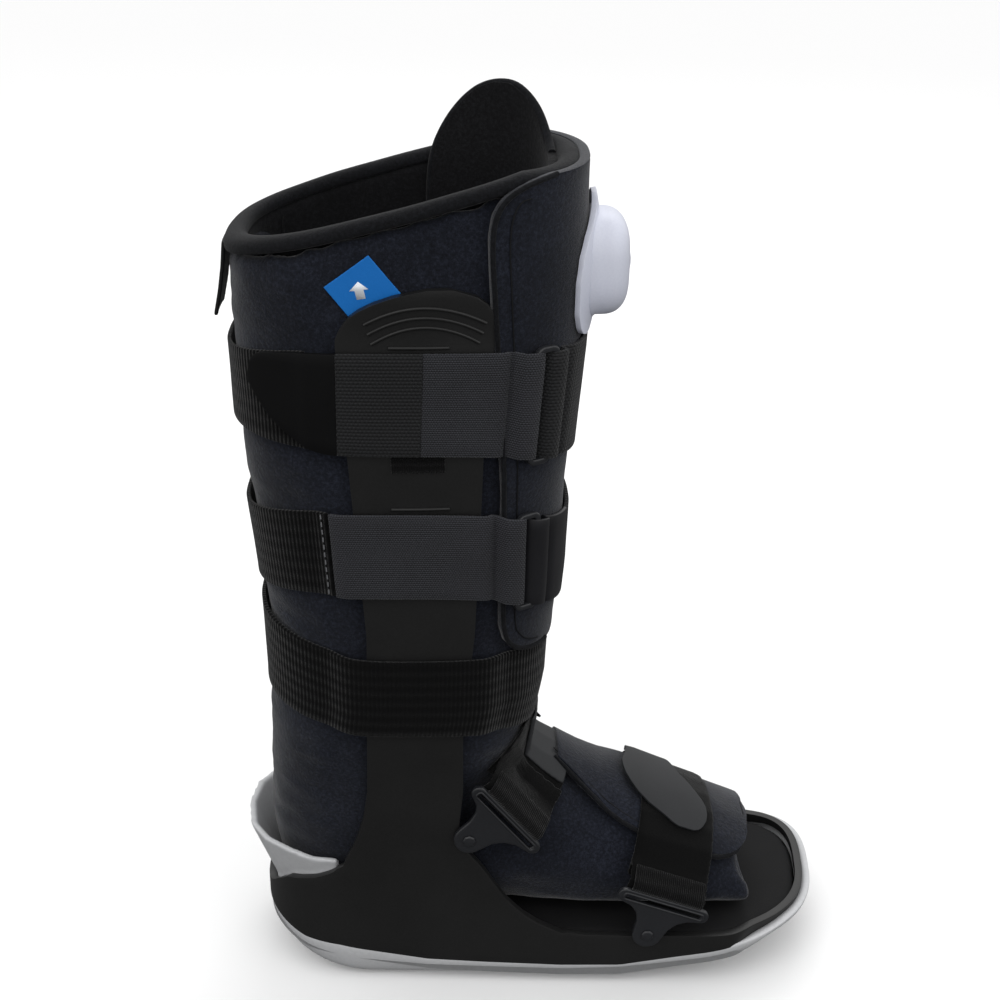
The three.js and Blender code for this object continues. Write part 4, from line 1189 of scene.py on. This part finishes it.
def legFace(y, z, out):
    # x of the leg's front at a place across it
    back, front = legEnds(z, out)
    half = legPoint(math.pi / 2, z, out).y
    n = bootForm["legSquareness"]
    return (back + front) / 2 + (front - back) / 2 * max(0, 1 - abs(y / half) ** n) ** (1 / n)


def flange():
    s = flangeSettings
    rows = []
    for r in range(s["rows"] + 1):
        up = r / s["rows"]
        z = s["bottom"] + up * s["height"]
        half = lookUp(flangeWidth, up, 1)
        row = []
        for c in range(s["columns"] + 1):
            y = s["middle"] + half * (2 * c / s["columns"] - 1)
            away = math.hypot((y - s["middle"]) / s["raiseWidth"], (z - s["raiseMiddle"]) / s["raiseHeight"])
            raised = s["raise"] * smooth(-away, -1.25, -0.7)
            row.append(Vector((legFace(y, z, s["lift"] + raised), y, z)))
        rows.append(row)
    return sheetMesh(
        "pumpFlange", rows, "palePlastic", "pump_plate", False,
        thickness=s["thickness"], offset=1, edge=0.7)


def dome():
    s = domeSettings
    lift = flangeSettings["lift"] + flangeSettings["thickness"] - 0.5
    profile = [(1.03, -0.04), (1.03, 0.1), (1.0, 0.13), (0.995, 0.3)]
    for k in range(1, 13):
        angle = k / 12 * math.pi / 2
        profile.append((0.24 + 0.755 * math.cos(angle) ** 0.62, 0.3 + 0.62 * math.sin(angle) ** 1.05))
    profile += [(0.16, 0.965), (0.08, 0.985)]
    middleY = s["across"]
    crown = legFace(middleY, s["middle"], lift)
    rows = []
    for scale, rise in profile:
        row = []
        for k in range(s["sides"]):
            angle = 2 * math.pi * k / s["sides"]
            y = middleY + s["width"] / 2 * scale * signedPower(math.cos(angle), s["square"])
            z = s["middle"] + s["height"] / 2 * scale * signedPower(math.sin(angle), s["square"])
            x = mix(legFace(y, z, lift), crown, min(1, max(0, rise) * 2)) + rise * s["depth"]
            row.append(Vector((x, y, z)))
        rows.append(row)
    ends = (0, len(rows) - 1)
    return sheetMesh("pumpDome", rows, "palePlastic", "pump_bulb", True, ends)


def surfaceOf(piece):
    # a search tree of a piece's mesh
    bm = bmesh.new()
    bm.from_mesh(piece.data)
    tree = BVHTree.FromBMesh(bm)
    bm.free()
    return tree


def nearFace(tree, x, z, fallback):
    # y of the outermost point on the near side
    hit = tree.ray_cast(Vector((x, -200, z)) * mm, Vector((0, 1, 0)))[0]
    return hit.y / mm if hit else fallback


flange()
dome()
tagPiece = reworked("blueTag", "pull_tag", "tag", 0.25, 2)


# x and z of a plain arrow's corners
arrowOutline = (
    (-25.4, 392.0), (-29.3, 387.5), (-27.0, 387.8), (-26.0, 383.7), (-22.1, 384.4), (-23.0, 388.4),
    (-20.8, 388.7),
)


def tagArrow():
    tree = surfaceOf(tagPiece)
    bm = bmesh.new()
    verts = []
    for x, z in arrowOutline:
        verts.append(bm.verts.new(Vector((x, nearFace(tree, x, z, -59.5) - 0.12, z)) * mm))
    bm.faces.new([verts[k] for k in (0, 1, 2, 5, 6)])
    bm.faces.new([verts[k] for k in (2, 3, 4, 5)])
    bm.normal_update()
    if sum(f.normal.y for f in bm.faces) > 0:
        bmesh.ops.reverse_faces(bm, faces=bm.faces)
    layer = bm.loops.layers.uv.new("map")
    for face in bm.faces:
        for loop in face.loops:
            loop[layer].uv = (loop.vert.co.x, loop.vert.co.z)
    walled(addPiece("tagArrow", meshFrom(bm, "tagArrow"), "arrow"), 0.1)


tagArrow()
pullTab = reworked("backPullTab", "back_tab", "coarseWebbing", 0.7, 4)
print("pump and tags ready")


# leg straps

def strapPanel(name, strap, start, end, paint, node=None, extra=None, narrow=None):
    # part of a leg strap between two turns; extra lifts it, and narrow cuts it from below and above
    columns = max(6, round(abs(end - start) * 26))
    closed = end - start > 6.28

    def place(s, t):
        turn = mix(start, end, s)
        under, over = narrow(turn) if narrow else (0, 0)
        share = mix(under, 1 - over, t)
        z = strapHeight(strap, turn, share)
        lift = strapLift(turn, strapHeight(strap, turn, 0.5)) + (extra(turn) if extra else 0)
        lift += 0.25 * cloud(Vector((math.cos(turn) * 60, math.sin(turn) * 60, z)), 22, 9)
        return legPoint(turn, z, lift)

    piece = panel(name, columns, 8, place, paint, bootForm["strapThickness"], node, closed)


ringSettings = {"width": 13, "wire": 3}


def walk(turn, z, out, distance):
    step = math.copysign(0.004, distance)
    walked = 0
    while walked < abs(distance):
        walked += (legPoint(turn, z, out) - legPoint(turn + step, z, out)).length
        turn += step
    return turn


def strapStops(strap, ringX):
    middle = (strap["top"] + strap["bottom"]) / 2
    f = bootForm
    lift = f["flapThickness"] + f["gap"] + f["strapGap"]
    ringTurn = turnAt(ringX, middle, lift, nearSide)
    clear = ringSettings["width"] / 2 + 2 * f["gap"]
    return middle, walk(ringTurn, middle, lift, clear), walk(ringTurn, middle, lift, -clear)


def makeTopStrap():
    middle, frontEnd, tailEnd = strapStops(topStrap, 56)
    tip, under = turnAt(-74, middle, 0, nearSide), turnAt(-49, middle, 0, nearSide)
    pileStart, weaveStart = turnAt(-34.5, middle, 0, nearSide), turnAt(1.4, middle, 0, nearSide)
    lap = bootForm["strapThickness"] + bootForm["gap"]

    def onBack(turn):
        return lap * (1 - smooth(turn, under, under + 0.12))

    def roundTip(turn):
        # the tongue's end: rounded above, slanting away below
        above = 1 - min(1, max(0, (turn - tip) / 0.16))
        below = 1 - min(1, max(0, (turn - tip) / 0.62))
        return 0.62 * below ** 1.9 + 0.04 * above, 0.26 * (1 - math.sqrt(1 - above * above))

    side, circle = math.pi / 2, 2 * math.pi
    bandEnd, weaveEnd = loopEnd(frontEnd, -1), loopEnd(tailEnd, 1)
    strapPanel("topBand", topStrap, side, under + circle, "ribbedPile", "strap_top_band")
    strapPanel("topBandFront", topStrap, bandEnd, side, "coarseWebbing", None, overBar(frontEnd))
    strapPanel("topTailTip", topStrap, tip, pileStart, "darkTab", "strap_top_tail", onBack, roundTip)
    strapPanel("topTailPile", topStrap, pileStart, weaveStart, "coarseWebbing", None, lambda t: 0.15)
    strapPanel("topTailWeave", topStrap, weaveStart, weaveEnd, "fineWebbing", None, overBar(tailEnd))
    reworked("topRing", "strap_top_ring", "hardware", 0.45, 5)


def loopEnd(end, direction):
    # a strap's end, carried on over the ring's bar to the slot's middle
    return end + direction * 0.098


def overBar(end):
    # lifts the webbing where it turns round the ring's bar, and sinks its end in the slot
    def lift(turn):
        away = abs(turn - end)
        return 2.9 * smooth(-away, -0.13, -0.035) - 3.2 * smooth(away, 0.07, 0.1) * smooth(-away, -0.2, -0.1)

    return lift


def makeMidStrap():
    middle, frontEnd, tailEnd = strapStops(midStrap, 50)
    tip, under = turnAt(-38.4, middle, 0, nearSide), turnAt(-39.4, middle, 0, nearSide)
    shine = turnAt(70, middle, 6, nearSide)
    onBar = overBar(tailEnd)
    bandEnd, weaveEnd = loopEnd(frontEnd, -1), loopEnd(tailEnd, 1)
    strapPanel("midBand", midStrap, shine, under + 2 * math.pi, "ribbedPile", "strap_mid_band")
    strapPanel("midBandFront", midStrap, bandEnd, shine, "satinWebbing", None, overBar(frontEnd))
    strapPanel("midTail", midStrap, tip, weaveEnd, "fineWebbing", "strap_mid_tail", lambda t: 0.4 + onBar(t))
    reworked("midRing", "strap_mid_ring", "hardware", 0.45, 5)
    seam = turnAt(-42.5, middle, 0, nearSide)
    lift = strapLift(seam, middle) + bootForm["strapThickness"] + 0.2
    stitches = 11
    for k in range(stitches):
        low, high = (k + 0.25) / stitches, (k + 0.8) / stitches
        spots = [(seam, strapHeight(midStrap, seam, mix(low, high, t / 2))) for t in range(3)]
        legLine(f"midSeam{k}", spots, lift, 0.32, "paleThread")


def hookPatch():
    def place(s, t):
        x, z = mix(-12.3, 12.5, s), mix(301.5, 309.8, t)
        return Vector((x, nearSide * (uprightInner(x, z) + bootForm["shellWall"] + 0.05), z))

    patch = panel("hookPatch", 16, 6, place, "softPile", 0.9, None, False, 0.25)


makeTopStrap()
makeMidStrap()
strapPanel("lowStrap", lowStrap, -math.pi, math.pi, "ribbedPile", "strap_low")
hookPatch()
print("leg straps ready")


# foot straps

footStraps = {
    "ankle": {"x": 43, "z": 107, "slant": -50, "face": 57.3, "half": 19.5, "length": 190},
    "fore": {"x": 126, "z": 55, "slant": -20, "face": 60.5, "half": 19.5, "length": 160},
}

# up from the slot, and out from the bracket's inner face, both in mm
foldPath = (
    (3.2, 0.2), (4.2, 0.6), (4.8, 1.5), (5.6, 2.0), (6.6, 1.7), (7.8, 0.6), (9.6, -2.0), (11.6, -5.2),
    (13.2, -7.8),
)


def besideFoot(strap, side, u, v, w):
    angle = math.radians(strap["slant"])
    x = strap["x"] + u * math.cos(angle) - v * math.sin(angle)
    z = strap["z"] + u * math.sin(angle) + v * math.cos(angle)
    return Vector((x, side * (strap["face"] + w), z))


def draped(piece, strap, tree):
    # lays the band's upper part on the liner, its ends still leaning out to the brackets
    angle = math.radians(strap["slant"])
    for vert in piece.data.vertices:
        point = vert.co / mm
        up = (point.z - strap["z"]) * math.cos(angle) - (point.x - strap["x"]) * math.sin(angle)
        under = tree.find_nearest(vert.co)[0]
        away = (vert.co - under).length / mm
        if away > 3.4:
            laid = 3.4 + 0.2 * (away - 3.4)  # presses what stands off flat, and keeps its faces apart
            vert.co = under + (vert.co - under) * mix(1, laid / away, smooth(up, 9, 19))
    piece.data.update()


def footFold(name, strap, side):
    # webbing turned over the bracket's upper bar
    steps = len(foldPath) - 1

    def place(s, t):
        at = t * steps
        k = min(steps - 1, int(at))
        v = mix(foldPath[k][0], foldPath[k + 1][0], at - k)
        w = mix(foldPath[k][1], foldPath[k + 1][1], at - k)
        return besideFoot(strap, side, mix(-strap["half"], strap["half"], s), v, w)

    fold = panel(name, 24, steps * 2, place, "softPile", 1.2, None, False, 0.35)


def slotRim(name, strap, side):
    points = []
    half, high = strap["half"] + 1.6, 1.9
    for k in range(40):
        angle = 2 * math.pi * k / 40
        u = half * math.copysign(min(1, abs(math.cos(angle)) * 6), math.cos(angle))
        u += math.copysign(1.2 * abs(math.cos(angle)), math.cos(angle))
        points.append(besideFoot(strap, side, u, high * math.sin(angle), 3.1))
    tube(name, points, 0.55, "hardware", closed=True)


# turn round the foot in degrees, rear and front edges of the fore strap's tongue in mm along the foot
tongueEdges = (
    (-41, 136, 144), (-39.5, 133, 147), (-36, 129, 149.5), (-30, 120, 152), (-24, 115, 153),
    (-17, 111.5, 153),
    (-10, 109, 151), (-3, 108, 148), (3, 108, 145), (11, 110, 141), (25, 112, 138), (60, 114, 134),
)


def foreTongue():
    def place(s, t):
        degrees = mix(58, -41, 1 - (1 - t) ** 1.15)
        x = mix(lookUp(tongueEdges, degrees, 1), lookUp(tongueEdges, degrees, 2), s)
        return footPoint(math.radians(degrees), x, 8.6)

    tab = panel("foreTab", 24, 60, place, "smoothTab", 1.2, "fore_tab", False, 0.4)


for name, strap in footStraps.items():
    band = reworked(name + "Band", name + "_strap", "softPile", 0.9, 6)
    if name == "ankle":
        draped(band, strap, surfaceOf(linerPiece))
    for side, title in ((nearSide, "Near"), (farSide, "Far")):
        reworked(name + title + "Bracket", name + "_bracket_" + title.lower(), "hardware", 0.5, 4)
        reworked(name + title + "Pin", name + "_pin_" + title.lower(), "hardware", 0.3, 3)
        footFold(name + title + "Fold", strap, side)
        slotRim(name + title + "SlotRim", strap, side)
ankleTab = reworked("ankleTab", "ankle_tab", "smoothTab", 0.6, 5)
foreTongue()
print("foot straps ready")
